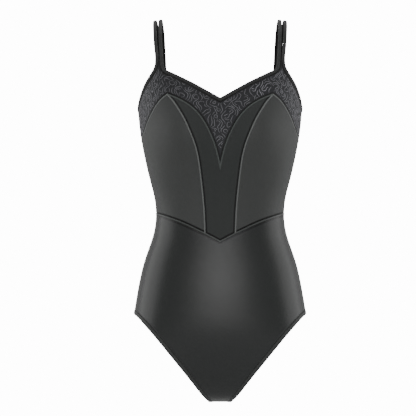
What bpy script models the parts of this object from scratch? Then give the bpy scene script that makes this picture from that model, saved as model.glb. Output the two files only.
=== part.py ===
"""A double-strap camisole leotard, filled out as it is worn, in the pieces that are cut and sewn.

The garment's front faces -Y and its own left side is +X. The origin is on the shoulders,
midway between the tops of the straps. Every panel lies on one body form, given by the rings
below, and the seams are drawn on that form as they are seen from the front or from behind.
"""

import math
from collections import namedtuple

import bmesh
import bpy
import numpy as np

# Cloth and trimmings
CLOTH_WALL = 0.0012
SEAM_GAP = 0.0003
BINDING_WIDTH = 0.0064
BINDING_WALL = 0.0024
BINDING_PROUD = 0.0006
LEG_BAND_WIDTH = 0.0080
LEG_BAND_WALL = 0.0020
LEG_BAND_PROUD = 0.0004
FOLD_ROUNDING = 0.0012
SHOULDER_SLOPE = math.radians(8)

# The body form: its height below the shoulders, half its width, and its depths in front and behind.
# Above the underarm and below the hip it goes on past the edges of the cloth.
Ring = namedtuple("Ring", "z half_width front back")
BODY_RINGS = (
    Ring(-0.0400, 0.1560, 0.0700, 0.0800),
    Ring(-0.0620, 0.1555, 0.0790, 0.0880),
    Ring(-0.0860, 0.1545, 0.0880, 0.0950),
    Ring(-0.1190, 0.1530, 0.0970, 0.1000),
    Ring(-0.1629, 0.1504, 0.1045, 0.1000),
    Ring(-0.2123, 0.1453, 0.1070, 0.0940),
    Ring(-0.2617, 0.1361, 0.1010, 0.0840),
    Ring(-0.2946, 0.1282, 0.0945, 0.0770),
    Ring(-0.3276, 0.1201, 0.0895, 0.0715),
    Ring(-0.3550, 0.1174, 0.0880, 0.0700),
    Ring(-0.3935, 0.1222, 0.0910, 0.0780),
    Ring(-0.4374, 0.1370, 0.0970, 0.0955),
    Ring(-0.4813, 0.1479, 0.1010, 0.1110),
    Ring(-0.5252, 0.1556, 0.1010, 0.1190),
    Ring(-0.5700, 0.1620, 0.0980, 0.1185),
    Ring(-0.6100, 0.1650, 0.0905, 0.1100),
    Ring(-0.6450, 0.1660, 0.0780, 0.0945),
    Ring(-0.6720, 0.1660, 0.0600, 0.0725),
    Ring(-0.6900, 0.1660, 0.0375, 0.0455),
    Ring(-0.6980, 0.1660, 0.0150, 0.0182),
    Ring(-0.7000, 0.1660, 0.0000, 0.0000),
)
SQUARENESS = 0.04
CUP_CENTRE = (0.076, -0.2050)
CUP_SPREAD = (0.050, 0.060)
CUP_DEPTH = 0.019

# Seams and edges of the half at +X, as they are seen from the front or, where behind, from the back
SeamPoint = namedtuple("SeamPoint", "x z behind", defaults=(False,))
AT_SIDE = math.inf
NECK_EDGE = (
    SeamPoint(0.1034, -0.0755),
    SeamPoint(0.1028, -0.0842),
    SeamPoint(0.1014, -0.0897),
    SeamPoint(0.0970, -0.0942),
    SeamPoint(0.0878, -0.0986),
    SeamPoint(0.0732, -0.1056),
    SeamPoint(0.0549, -0.1144),
    SeamPoint(0.0366, -0.1243),
    SeamPoint(0.0183, -0.1345),
    SeamPoint(0.0000, -0.1448),
)
ARMHOLE_EDGE = (
    SeamPoint(0.1184, -0.0755),
    SeamPoint(0.1190, -0.0842),
    SeamPoint(0.1206, -0.0900),
    SeamPoint(0.1243, -0.0970),
    SeamPoint(0.1310, -0.1080),
    SeamPoint(0.1373, -0.1190),
    SeamPoint(0.1420, -0.1299),
    SeamPoint(0.1459, -0.1409),
    SeamPoint(0.1488, -0.1519),
    SeamPoint(AT_SIDE, -0.1629),
    SeamPoint(0.1474, -0.1700, True),
    SeamPoint(0.1400, -0.1738, True),
    SeamPoint(0.1290, -0.1742, True),
    SeamPoint(0.1190, -0.1700, True),
    SeamPoint(0.1128, -0.1625, True),
    SeamPoint(0.1100, -0.1540, True),
    SeamPoint(0.1094, -0.1470, True),
)
SCOOP_EDGE = (
    SeamPoint(0.0950, -0.1470, True),
    SeamPoint(0.0944, -0.1560, True),
    SeamPoint(0.0918, -0.1690, True),
    SeamPoint(0.0860, -0.1880, True),
    SeamPoint(0.0770, -0.2110, True),
    SeamPoint(0.0640, -0.2370, True),
    SeamPoint(0.0470, -0.2610, True),
    SeamPoint(0.0260, -0.2790, True),
    SeamPoint(0.0000, -0.2850, True),
)
YOKE_SIDE_SEAM = (
    SeamPoint(AT_SIDE, -0.2223),
    SeamPoint(0.1382, -0.2050),
    SeamPoint(0.1308, -0.1850),
    SeamPoint(0.1208, -0.1650),
    SeamPoint(0.1098, -0.1492),
    SeamPoint(0.0955, -0.1372),
)
YOKE_CENTRE_SEAM = (
    SeamPoint(0.0955, -0.1372),
    SeamPoint(0.0824, -0.1425),
    SeamPoint(0.0686, -0.1492),
    SeamPoint(0.0549, -0.1578),
    SeamPoint(0.0421, -0.1693),
    SeamPoint(0.0293, -0.1857),
    SeamPoint(0.0183, -0.2059),
    SeamPoint(0.0092, -0.2278),
    SeamPoint(0.0037, -0.2461),
    SeamPoint(0.0000, -0.2626),
)
PRINCESS_SEAM = (
    SeamPoint(0.0955, -0.1372),
    SeamPoint(0.0842, -0.1501),
    SeamPoint(0.0732, -0.1665),
    SeamPoint(0.0641, -0.1821),
    SeamPoint(0.0549, -0.2022),
    SeamPoint(0.0467, -0.2225),
    SeamPoint(0.0393, -0.2489),
    SeamPoint(0.0339, -0.2855),
    SeamPoint(0.0282, -0.3404),
    SeamPoint(0.0260, -0.3898),
)
WAIST_SEAM_FRONT = (
    SeamPoint(AT_SIDE, -0.3537),
    SeamPoint(0.1007, -0.3583),
    SeamPoint(0.0824, -0.3645),
    SeamPoint(0.0641, -0.3718),
    SeamPoint(0.0458, -0.3803),
    SeamPoint(0.0260, -0.3898),
    SeamPoint(0.0000, -0.4035),
)
WAIST_SEAM_BACK = (
    SeamPoint(AT_SIDE, -0.3537, True),
    SeamPoint(0.0900, -0.3560, True),
    SeamPoint(0.0500, -0.3590, True),
    SeamPoint(0.0000, -0.3600, True),
)
LEG_EDGE_FRONT = (
    SeamPoint(AT_SIDE, -0.5386),
    SeamPoint(0.1475, -0.5472),
    SeamPoint(0.1274, -0.5691),
    SeamPoint(0.1087, -0.5911),
    SeamPoint(0.0908, -0.6131),
    SeamPoint(0.0730, -0.6350),
    SeamPoint(0.0556, -0.6570),
    SeamPoint(0.0390, -0.6789),
    SeamPoint(0.0273, -0.6930),
    SeamPoint(0.0222, -0.6984),
    SeamPoint(0.0210, -0.7000),
)
LEG_EDGE_BACK = (
    SeamPoint(AT_SIDE, -0.5386, True),
    SeamPoint(0.1470, -0.5470, True),
    SeamPoint(0.1262, -0.5691, True),
    SeamPoint(0.1070, -0.5911, True),
    SeamPoint(0.0890, -0.6131, True),
    SeamPoint(0.0712, -0.6350, True),
    SeamPoint(0.0540, -0.6570, True),
    SeamPoint(0.0382, -0.6780, True),
    SeamPoint(0.0268, -0.6930, True),
    SeamPoint(0.0222, -0.6984, True),
    SeamPoint(0.0210, -0.7000, True),
)

# Middle lines of the straps over the shoulder, between the ends of the bindings
StrapPoint = namedtuple("StrapPoint", "x y z")
INNER_STRAP = (
    StrapPoint(0.1080, -0.0590, -0.0520),
    StrapPoint(0.1092, -0.0480, -0.0270),
    StrapPoint(0.1096, -0.0300, -0.0080),
    StrapPoint(0.1088, -0.0070, -0.0012),
    StrapPoint(0.1072, 0.0190, -0.0060),
    StrapPoint(0.1052, 0.0430, -0.0240),
    StrapPoint(0.1036, 0.0600, -0.0520),
    StrapPoint(0.1018, 0.0720, -0.0900),
)
OUTER_STRAP = (
    StrapPoint(0.1174, -0.0540, -0.0520),
    StrapPoint(0.1190, -0.0435, -0.0270),
    StrapPoint(0.1196, -0.0270, -0.0085),
    StrapPoint(0.1187, -0.0070, -0.0026),
    StrapPoint(0.1169, 0.0180, -0.0075),
    StrapPoint(0.1146, 0.0400, -0.0250),
    StrapPoint(0.1126, 0.0555, -0.0520),
    StrapPoint(0.1104, 0.0665, -0.0900),
)

# How finely each line is stepped, and the rows of the tables where the steps change.
# Panels that share a seam share its steps.
FRONT_TIP_ROWS = 3
BACK_TIP_ROWS = 3
HALF_TIP_COLUMNS = 1
ARMHOLE_STEPS = (FRONT_TIP_ROWS, 8, 5, BACK_TIP_ROWS)
ARMHOLE_STOPS = (3, 9, 13)
NECK_STEPS = (FRONT_TIP_ROWS, 9)
NECK_STOPS = (3,)
SCOOP_STEPS = (BACK_TIP_ROWS, 7)
SCOOP_STOPS = (2,)
SIDE_STEPS = ARMHOLE_STEPS[1] + HALF_TIP_COLUMNS
CENTRE_STEPS = NECK_STEPS[1] + HALF_TIP_COLUMNS
BACK_STEPS = ARMHOLE_STEPS[2] + 2 * HALF_TIP_COLUMNS + SCOOP_STEPS[1]
YOKE_ROWS = 5
YOKE_POINT_STEPS = 5
CENTRE_COLUMNS = 3
CENTRE_LINE_ROWS = 6
BODICE_ROWS = CENTRE_STEPS + CENTRE_LINE_ROWS
BACK_ROWS = 9
HIP_ROWS = 8
GUSSET_COLUMNS = 5
LEG_STEPS = (8, 10)
LEG_STOPS = (4,)
BRIEF_COLUMNS = LEG_STEPS[0] + GUSSET_COLUMNS
STRAP_STEPS = 18
FINE_STEPS = 400
SOLVER_ROUNDS = 5
SMALL_STEP = 1e-4
SHARED_CORNER_DIGITS = 6
SHARP_ANGLE = math.radians(50)

Material = namedtuple("Material", "colour roughness sheen")
MATERIALS = {
    "satin": Material((0.058, 0.062, 0.060), 0.36, 0.20),
    "matte": Material((0.026, 0.030, 0.029), 0.62, 0.10),
    "scroll_mesh": Material((0.062, 0.062, 0.070), 0.55, 0.15),
    "binding": Material((0.024, 0.026, 0.025), 0.50, 0.15),
}


def smooth_curve(knots, values, last_slope=None):
    """A cubic spline through values at knots, with free ends or with a slope at its last end."""
    knots = np.asarray(knots, float)
    values = np.asarray(values, float).reshape(len(knots), -1)
    step = np.diff(knots)[:, None]
    rise = np.diff(values, axis=0) / step
    count = len(knots)
    matrix = np.zeros((count, count))
    known = np.zeros_like(values)
    matrix[0, :2] = 2, 1
    known[0] = 3 * rise[0]
    for i in range(1, count - 1):
        before, after = 1 / step[i - 1, 0], 1 / step[i, 0]
        matrix[i, i - 1 : i + 2] = before, 2 * (before + after), after
        known[i] = 3 * (rise[i - 1] * before + rise[i] * after)
    if last_slope is None:
        matrix[-1, -2:] = 1, 2
        known[-1] = 3 * rise[-1]
    else:
        matrix[-1, -1] = 1
        known[-1] = last_slope
    slope = np.linalg.solve(matrix, known)

    def value_at(place):
        place = np.asarray(place, float)
        i = np.clip(np.searchsorted(knots, place, side="right") - 1, 0, count - 2)
        width = step[i, 0]
        t = ((place - knots[i]) / width)[..., None]
        width = width[..., None]
        return (
            values[i] * (1 + 2 * t) * (1 - t) ** 2
            + slope[i] * width * t * (1 - t) ** 2
            + values[i + 1] * t**2 * (3 - 2 * t)
            + slope[i + 1] * width * t**2 * (t - 1)
        )

    return value_at


def rings_by_level():
    """The rings as a smooth function of level, which is the length down the middle of the front."""
    rings = np.array(BODY_RINGS)
    run = np.hypot(np.diff(rings[:, 0]), np.diff(rings[:, 2]))
    levels = np.concatenate([[0], np.cumsum(run)])
    back_share = BODY_RINGS[-2].back / BODY_RINGS[-2].front
    return smooth_curve(levels, rings, (0, 0, -1, -back_share)), levels[-1]


RING_AT, LAST_LEVEL = rings_by_level()
FINE_LEVELS = np.linspace(0, LAST_LEVEL, 4 * FINE_STEPS)
FINE_HEIGHTS = RING_AT(FINE_LEVELS)[:, 0]
FINE_ANGLES = np.linspace(0, math.pi / 2, 4 * FINE_STEPS)


def width_share(angle):
    return (np.sin(angle) + SQUARENESS * np.sin(3 * angle)) / (1 - SQUARENESS)


def depth_share(angle):
    return (np.cos(angle) - SQUARENESS * np.cos(3 * angle)) / (1 - SQUARENESS)


def body(line):
    """Points of the form. A line's columns are the angle from the middle of the front and the level."""
    angle, level = line[..., 0], line[..., 1]
    z, half_width, front, back = np.moveaxis(RING_AT(level), -1, 0)
    x = half_width * width_share(angle)
    ahead = depth_share(angle)
    across = [(x - side * CUP_CENTRE[0]) / CUP_SPREAD[0] for side in (1, -1)]
    up = (z - CUP_CENTRE[1]) / CUP_SPREAD[1]
    cups = CUP_DEPTH * sum(np.exp(-(u**2) - up**2) for u in across)
    y = -ahead * np.where(ahead > 0, front + cups, back)
    return np.stack([x, y, z], axis=-1)


def directions(line):
    """How the form's points move with the angle and with the level."""
    turn = np.array([SMALL_STEP, 0])
    drop = np.array([0, SMALL_STEP])
    round_it = (body(line + turn) - body(line - turn)) / (2 * SMALL_STEP)
    down_it = (body(line + drop) - body(line - drop)) / (2 * SMALL_STEP)
    return round_it, down_it


def unit(vectors):
    return vectors / np.linalg.norm(vectors, axis=-1, keepdims=True)


def outward(line):
    round_it, down_it = directions(line)
    return unit(np.cross(down_it, round_it))


def spot(point):
    """The angle and level of a seam point."""
    level = np.interp(-point.z, -FINE_HEIGHTS, FINE_LEVELS)
    share = point.x / RING_AT(level)[1]
    angle = np.interp(share, width_share(FINE_ANGLES), FINE_ANGLES)
    return (math.pi - angle if point.behind else angle), level


def lengths_along(points):
    return np.concatenate([[0], np.cumsum(np.linalg.norm(np.diff(points, axis=0), axis=1))])


def trace(points, steps, stops=()):
    """A smooth line on the form through seam points, in equal steps between its stops."""
    knots = np.array([spot(point) for point in points])
    run = lengths_along(body(knots))
    curve = smooth_curve(run, knots)
    ends = [0, *stops, len(points) - 1]
    pieces = []
    for first, last, count in zip(ends, ends[1:], steps):
        fine = curve(np.linspace(run[first], run[last], FINE_STEPS))
        fine[:, 1] = np.minimum(fine[:, 1], LAST_LEVEL)
        fine_run = lengths_along(body(fine))
        wanted = np.linspace(0, fine_run[-1], count + 1)
        piece = np.stack([np.interp(wanted, fine_run, column) for column in fine.T], axis=-1)
        pieces.append(piece[1:] if pieces else piece)
    return np.vstack(pieces)


def straight(start, end, steps):
    return start + np.linspace(0, 1, steps + 1)[:, None] * (end - start)


def crossings(points, normals, closed=False):
    """The way across a line in the cloth, to the left of its run, lengthened for the mitre."""
    if closed:
        first, last = points[-1], points[0]
    else:
        first, last = 2 * points[0] - points[1], 2 * points[-1] - points[-2]
    longer = np.vstack([first, points, last])
    before = unit(np.cross(normals, points - longer[:-2]))
    after = unit(np.cross(normals, longer[2:] - points))
    return (before + after) / (1 + np.sum(before * after, axis=1, keepdims=True))


def both_halves(half):
    """Points from one side's end, through the middle, to the other side's end."""
    return np.concatenate([half, half[::-1][1:] * np.array([-1, 1, 1])])


def moved_across(line, distance, closed=False, to_middle=False):
    """A line of the form moved across the cloth. One that ends in the middle is mitred with its twin."""
    points, normals = body(line), outward(line)
    if to_middle:
        across = crossings(both_halves(points), both_halves(normals))[: len(line)]
    else:
        across = crossings(points, normals, closed)
    target = points + distance * across
    moved = line.copy()
    for _ in range(SOLVER_ROUNDS):
        sides = np.stack(directions(moved), axis=-1)
        turned = np.swapaxes(sides, -1, -2)
        short = (target - body(moved))[..., None]
        moved += np.linalg.solve(turned @ sides, turned @ short)[..., 0]
        moved[:, 1] = np.minimum(moved[:, 1], LAST_LEVEL)
    return moved


def between(top, bottom, first, last):
    """A grid on the form between four lines. Rows run from first to last, and columns down."""
    along = np.linspace(0, 1, len(top))[None, :, None]
    down = np.linspace(0, 1, len(first))[:, None, None]
    rows = (1 - down) * top[None] + down * bottom[None]
    columns = (1 - along) * first[:, None] + along * last[:, None]
    upper = (1 - along) * top[0] + along * top[-1]
    lower = (1 - along) * bottom[0] + along * bottom[-1]
    return rows + columns - (1 - down) * upper - down * lower


def add_material(name):
    look = MATERIALS[name]
    material = bpy.data.materials.new(name)
    material.use_nodes = True
    shader = material.node_tree.nodes["Principled BSDF"]
    shader.inputs["Base Color"].default_value = (*look.colour, 1)
    shader.inputs["Roughness"].default_value = look.roughness
    shader.inputs["Metallic"].default_value = 0
    shader.inputs["Sheen Weight"].default_value = look.sheen
    return material


def add_body(name, points, faces, material, garment):
    """One closed body with its faces turned out."""
    shape = bmesh.new()
    corners = [shape.verts.new(point) for point in points]
    for face in faces:
        shape.faces.new([corners[i] for i in face])
    bmesh.ops.recalc_face_normals(shape, faces=shape.faces)
    mesh = bpy.data.meshes.new(name)
    shape.to_mesh(mesh)
    shape.free()
    mesh.materials.append(material)
    mesh.shade_smooth()
    mesh.set_sharp_from_angle(angle=SHARP_ANGLE)
    piece = bpy.data.objects.new(name, mesh)
    bpy.context.scene.collection.objects.link(piece)
    piece.parent = garment


def joined(grids):
    """Grids of one panel as points, their ways out, and faces that share their corners."""
    corners, points, normals, faces = {}, [], [], []
    for grid in grids:
        places, ways = grid
        numbers = np.empty(places.shape[:2], int)
        for row, column in np.ndindex(numbers.shape):
            place = places[row, column]
            key = tuple(np.round(place, SHARED_CORNER_DIGITS) + 0.0)
            if key not in corners:
                corners[key] = len(points)
                points.append(place)
                normals.append(ways[row, column])
            numbers[row, column] = corners[key]
        for upper, lower in zip(numbers, numbers[1:]):
            for face in zip(upper, upper[1:], lower[1:], lower):
                face = tuple(dict.fromkeys(face))
                if len(face) > 2:
                    faces.append(face)
    return np.array(points), np.array(normals), faces


def rim_of(faces):
    """The corners round the open edge of a sheet of faces, in order."""
    sides = {side for face in faces for side in zip(face, face[1:] + face[:1])}
    following = {here: there for here, there in sides if (there, here) not in sides}
    rim = [min(following)]
    while following[rim[-1]] != rim[0]:
        rim.append(following[rim[-1]])
    return rim


def add_panel(name, lines, material, garment, whole):
    """A wall of cloth under grids of the form, drawn in by half a seam gap all round."""
    grids = [(body(grid), outward(grid)) for grid in lines]
    if whole:
        flip = np.array([-1, 1, 1])
        grids += [[(vectors * flip)[:, ::-1] for vectors in grid] for grid in grids]
    outer, normals, faces = joined(grids)
    rim = rim_of(faces)
    into = crossings(outer[rim], normals[rim], closed=True)
    first = faces[0]
    facing = np.cross(outer[first[1]] - outer[first[0]], outer[first[-1]] - outer[first[0]])
    side = math.copysign(SEAM_GAP / 2, facing @ normals[first[0]])
    outer[rim] += side * into
    inner = outer - CLOTH_WALL * normals

    below = len(outer)
    walls = [*faces, *([corner + below for corner in face[::-1]] for face in faces)]
    for here, there in zip(rim, rim[1:] + rim[:1]):
        walls.append((here, here + below, there + below, there))
    add_body(name, np.concatenate([outer, inner]), walls, material, garment)


def band_section(width, wall, proud):
    """A folded band's outline: across the band, and out from the outer face of the cloth."""
    side = (width - SEAM_GAP) / 2
    top, base = proud, proud - wall
    return np.array(
        [
            (-side, base),
            (side, base),
            (side, top - FOLD_ROUNDING / 2),
            (side - FOLD_ROUNDING, top),
            (-side + FOLD_ROUNDING, top),
            (-side, top - FOLD_ROUNDING / 2),
        ]
    )


def add_band(name, points, across, normals, section, material, garment, closed=False):
    """A band swept along points, its section set across and out at each of them."""
    rings = (
        points[:, None]
        + section[None, :, :1] * across[:, None]
        + section[None, :, 1:] * normals[:, None]
    )
    count, corners = rings.shape[:2]
    number = np.arange(count * corners).reshape(count, corners)
    faces = [] if closed else [number[0], number[-1][::-1]]
    for i in range(count if closed else count - 1):
        here, there = number[i], number[(i + 1) % count]
        for j in range(corners):
            k = (j + 1) % corners
            faces.append((here[j], there[j], there[k], here[k]))
    add_body(name, rings.reshape(-1, 3), faces, material, garment)


def on_side(side, vectors):
    return vectors * np.array([side, 1, 1])


def strap_run(front, rows, back):
    """Points of a strap with its ways across and out, between the ends of two bindings."""
    knots = np.vstack([front.points[::-1], np.array(rows), back.points])
    run = lengths_along(knots)
    points = smooth_curve(run, knots)(np.linspace(run[1], run[-2], STRAP_STEPS + 1))
    share = lengths_along(points) / lengths_along(points)[-1]
    top = share[np.argmax(points[:, 2])]
    top_across = np.array([math.cos(SHOULDER_SLOPE), 0, -math.sin(SHOULDER_SLOPE)])
    guides = smooth_curve((0, top, 1), (front.across, top_across, back.across))(share)
    along = unit(np.gradient(points, axis=0))
    across = unit(guides - along * np.sum(guides * along, axis=1, keepdims=True))
    out = unit(np.cross(across, along))
    for end, here in ((front, 0), (back, -1)):
        across[here], out[here] = end.across, end.out
        points[here] += SEAM_GAP * end.away
    return points, across, out


def seam_lines():
    """Every seam and edge of the +X half as a line on the form, by name."""
    corner = len(WAIST_SEAM_FRONT) - 2
    leg_front = trace(LEG_EDGE_FRONT, LEG_STEPS, LEG_STOPS)
    leg_back = trace(LEG_EDGE_BACK, LEG_STEPS, LEG_STOPS)
    return {
        "neck": trace(NECK_EDGE, NECK_STEPS, NECK_STOPS),
        "scoop": trace(SCOOP_EDGE, SCOOP_STEPS, SCOOP_STOPS),
        "armhole": trace(ARMHOLE_EDGE, ARMHOLE_STEPS, ARMHOLE_STOPS),
        "leg": np.vstack([leg_front, leg_back[::-1][1:-1]]),
        "yoke_side": trace(YOKE_SIDE_SEAM, [SIDE_STEPS]),
        "yoke_centre": trace(YOKE_CENTRE_SEAM, [CENTRE_STEPS]),
        "princess": trace(PRINCESS_SEAM, [BODICE_ROWS]),
        "waist_front": trace(WAIST_SEAM_FRONT, (SIDE_STEPS, CENTRE_COLUMNS), [corner]),
        "waist_back": trace(WAIST_SEAM_BACK, [BACK_STEPS]),
        "brief_top_front": trace(WAIST_SEAM_FRONT, [BRIEF_COLUMNS]),
        "brief_top_back": trace(WAIST_SEAM_BACK, [BRIEF_COLUMNS]),
    }


def tip_and_foot(armhole, edge, rows):
    """The tip of a panel below a strap, and the line across its foot.

    The tip lies between the starts of an armhole and of a neck edge, down to where they part.
    """
    columns = 2 * HALF_TIP_COLUMNS
    head = straight(armhole[0], edge[0], columns)
    foot = straight(armhole[rows], edge[rows], columns)
    return between(head, foot, armhole[: rows + 1], edge[: rows + 1]), foot


def add_bodice(garment, finish, lines, neck_in, scoop_in, armhole_in):
    """The yoke, the centre and side panels below it, and the back."""
    front_tip, front_foot = tip_and_foot(armhole_in, neck_in, FRONT_TIP_ROWS)
    back_tip, back_foot = tip_and_foot(armhole_in[::-1], scoop_in, BACK_TIP_ROWS)
    side_top = FRONT_TIP_ROWS + ARMHOLE_STEPS[1]
    armhole_front = armhole_in[FRONT_TIP_ROWS : side_top + 1][::-1]
    armhole_back = armhole_in[side_top : len(armhole_in) - BACK_TIP_ROWS]
    yoke_side, yoke_centre = lines["yoke_side"], lines["yoke_centre"]
    waist_front, waist_back = lines["waist_front"], lines["waist_back"]
    princess = lines["princess"]
    upper_side = straight(armhole_in[side_top], yoke_side[0], YOKE_ROWS)
    centre_line = straight(yoke_centre[-1], waist_front[-1], CENTRE_LINE_ROWS)

    split = CENTRE_STEPS - YOKE_POINT_STEPS
    half_way = np.array([0, yoke_centre[split, 1]])
    across = straight(yoke_centre[split], half_way, YOKE_POINT_STEPS)
    yoke = between(
        np.vstack([armhole_front, front_foot[1:-1], neck_in[FRONT_TIP_ROWS:]]),
        np.vstack([yoke_side, yoke_centre[1:split], across]),
        upper_side,
        straight(neck_in[-1], half_way, YOKE_ROWS),
    )
    yoke_point = between(
        across,
        straight(yoke_centre[-1], yoke_centre[-1], YOKE_POINT_STEPS),
        yoke_centre[split:],
        straight(half_way, yoke_centre[-1], YOKE_POINT_STEPS),
    )
    centre = between(
        straight(princess[0], princess[0], CENTRE_COLUMNS),
        waist_front[SIDE_STEPS:],
        princess,
        np.vstack([yoke_centre, centre_line[1:]]),
    )
    side = between(
        yoke_side,
        waist_front[: SIDE_STEPS + 1],
        straight(yoke_side[0], waist_front[0], BODICE_ROWS),
        princess,
    )
    back = between(
        np.vstack([armhole_back, back_foot[1:-1], scoop_in[BACK_TIP_ROWS:]]),
        waist_back,
        np.vstack([upper_side, straight(yoke_side[0], waist_back[0], BACK_ROWS)[1:]]),
        straight(scoop_in[-1], waist_back[-1], YOKE_ROWS + BACK_ROWS),
    )
    flip = np.array([-1, 1])
    panels = (
        ("front_yoke", [front_tip, yoke, yoke_point], "scroll_mesh", True),
        ("centre_front_panel", [centre], "matte", True),
        ("side_front_panel_left", [side], "satin", False),
        ("side_front_panel_right", [side * flip], "satin", False),
        ("back_bodice", [back_tip, back], "satin", True),
    )
    for name, grids, look, whole in panels:
        add_panel(name, grids, finish[look], garment, whole)


def add_brief(garment, finish, lines, leg_in):
    """The front and the back of the brief, which meet at the sides and under the crotch."""
    steps = sum(LEG_STEPS)
    front_edge = leg_in[: steps + 1]
    crotch_back = front_edge[-1] * np.array([-1, 1]) + np.array([math.pi, 0])
    back_edge = np.vstack([leg_in[:1], leg_in[:steps:-1], [crotch_back]])
    halves = (
        ("brief_front", lines["brief_top_front"], front_edge, 0),
        ("brief_back", lines["brief_top_back"], back_edge, math.pi),
    )
    split = LEG_STEPS[0]
    for name, waist, edge, middle_angle in halves:
        half_way = np.array([middle_angle, edge[split, 1]])
        across = straight(edge[split], half_way, GUSSET_COLUMNS)
        crotch = straight(edge[-1], np.array([middle_angle, LAST_LEVEL]), GUSSET_COLUMNS)
        upper = between(
            waist,
            np.vstack([edge[:split], across]),
            straight(waist[0], edge[0], HIP_ROWS),
            straight(waist[-1], half_way, HIP_ROWS),
        )
        down_middle = straight(half_way, crotch[-1], LEG_STEPS[1])
        lower = between(across, crotch, edge[split:], down_middle)
        add_panel(name, [upper, lower], finish["satin"], garment, whole=True)


BandEnd = namedtuple("BandEnd", "points across out away")


def band_end(points, across, normals):
    """The start of a band, for a strap that goes on from it: its way across points to the side."""
    across = across[0] * math.copysign(1, across[0][0])
    away = unit(np.cross(across, normals[0]))
    away *= math.copysign(1, away @ (points[0] - points[1]))
    return BandEnd(points[:2], across, normals[0], away)


def add_bindings(garment, finish, lines):
    """The bindings of the neck, the scoop and the armholes. Gives their ends for the straps."""
    section = band_section(BINDING_WIDTH, BINDING_WALL, BINDING_PROUD)
    looks = finish["binding"], garment
    ends = {}
    middles = {
        "neck": moved_across(lines["neck"], BINDING_WIDTH / 2, to_middle=True),
        "scoop": moved_across(lines["scoop"], -BINDING_WIDTH / 2, to_middle=True),
        "armhole": moved_across(lines["armhole"], -BINDING_WIDTH / 2),
    }
    for edge, name in (("neck", "neck_binding_front"), ("scoop", "neck_binding_back")):
        points = both_halves(body(middles[edge]))
        normals = both_halves(outward(middles[edge]))
        across = crossings(points, normals)
        add_band(name, points, across, normals, section, *looks)
        ends[edge] = band_end(points, across, normals)
    points, normals = body(middles["armhole"]), outward(middles["armhole"])
    across = crossings(points, normals)
    for name, side in (("armhole_binding_left", 1), ("armhole_binding_right", -1)):
        turned = [on_side(side, vectors) for vectors in (points, across, normals)]
        add_band(name, *turned, section, *looks)
    ends["armhole_front"] = band_end(points, across, normals)
    ends["armhole_back"] = band_end(points[::-1], across[::-1], normals[::-1])
    return ends


def add_straps(garment, finish, ends):
    """Four straps, which go on from the bindings over the shoulders."""
    section = band_section(BINDING_WIDTH, BINDING_WALL, BINDING_PROUD)
    straps = (
        ("strap_inner", INNER_STRAP, ends["neck"], ends["scoop"]),
        ("strap_outer", OUTER_STRAP, ends["armhole_front"], ends["armhole_back"]),
    )
    for name, rows, front, back in straps:
        run = strap_run(front, rows, back)
        for side_name, side in (("left", 1), ("right", -1)):
            turned = [on_side(side, vectors) for vectors in run]
            add_band(f"{name}_{side_name}", *turned, section, finish["binding"], garment)


def add_leg_bands(garment, finish, lines):
    """The turned elastic hem of each leg opening, a closed loop."""
    section = band_section(LEG_BAND_WIDTH, LEG_BAND_WALL, LEG_BAND_PROUD)
    middle = moved_across(lines["leg"], -LEG_BAND_WIDTH / 2, closed=True)
    points, normals = body(middle), outward(middle)
    across = crossings(points, normals, closed=True)
    for name, side in (("leg_band_left", 1), ("leg_band_right", -1)):
        turned = [on_side(side, vectors) for vectors in (points, across, normals)]
        add_band(name, *turned, section, finish["satin"], garment, closed=True)


def main():
    for item in list(bpy.data.objects):
        bpy.data.objects.remove(item)
    garment = bpy.data.objects.new("leotard", None)
    bpy.context.scene.collection.objects.link(garment)
    finish = {name: add_material(name) for name in MATERIALS}
    lines = seam_lines()
    neck_in = moved_across(lines["neck"], BINDING_WIDTH, to_middle=True)
    scoop_in = moved_across(lines["scoop"], -BINDING_WIDTH, to_middle=True)
    armhole_in = moved_across(lines["armhole"], -BINDING_WIDTH)
    leg_in = moved_across(lines["leg"], -LEG_BAND_WIDTH, closed=True)
    add_bodice(garment, finish, lines, neck_in, scoop_in, armhole_in)
    add_brief(garment, finish, lines, leg_in)
    ends = add_bindings(garment, finish, lines)
    add_straps(garment, finish, ends)
    add_leg_bands(garment, finish, lines)


main()
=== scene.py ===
"""The dressed camisole leotard: its cloth, bindings, stitching and a plain studio.

The garment's front faces -Y and its own left side is +X. Every panel lies on one body form,
given by the rings below, and the seams are drawn on that form as they are seen from the front
or from behind.
"""

import math
import random
from collections import namedtuple
import bmesh
import bpy
import numpy as np
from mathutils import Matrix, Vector


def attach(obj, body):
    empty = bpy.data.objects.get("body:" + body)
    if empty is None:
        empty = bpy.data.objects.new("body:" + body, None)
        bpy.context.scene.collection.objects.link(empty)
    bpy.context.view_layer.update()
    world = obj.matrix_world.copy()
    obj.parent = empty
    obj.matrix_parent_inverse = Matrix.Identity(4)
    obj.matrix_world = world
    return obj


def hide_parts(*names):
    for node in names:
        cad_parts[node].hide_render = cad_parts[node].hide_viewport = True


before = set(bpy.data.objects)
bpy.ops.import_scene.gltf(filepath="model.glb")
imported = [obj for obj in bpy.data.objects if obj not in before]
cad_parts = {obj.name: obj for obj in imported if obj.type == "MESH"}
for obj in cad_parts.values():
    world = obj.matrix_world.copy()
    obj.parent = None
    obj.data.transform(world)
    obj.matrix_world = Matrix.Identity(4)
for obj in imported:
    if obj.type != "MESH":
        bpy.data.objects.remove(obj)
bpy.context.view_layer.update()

bl_info = {
    "name": "Camisole leotard",
    "version": (1, 0, 0),
    "blender": (4, 5, 0),
    "location": "View3D > Sidebar > Leotard",
    "description": "Cloth panels, bindings, straps, hems and stitching of a camisole leotard",
    "category": "Object",
}

BODY = "root"

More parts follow.
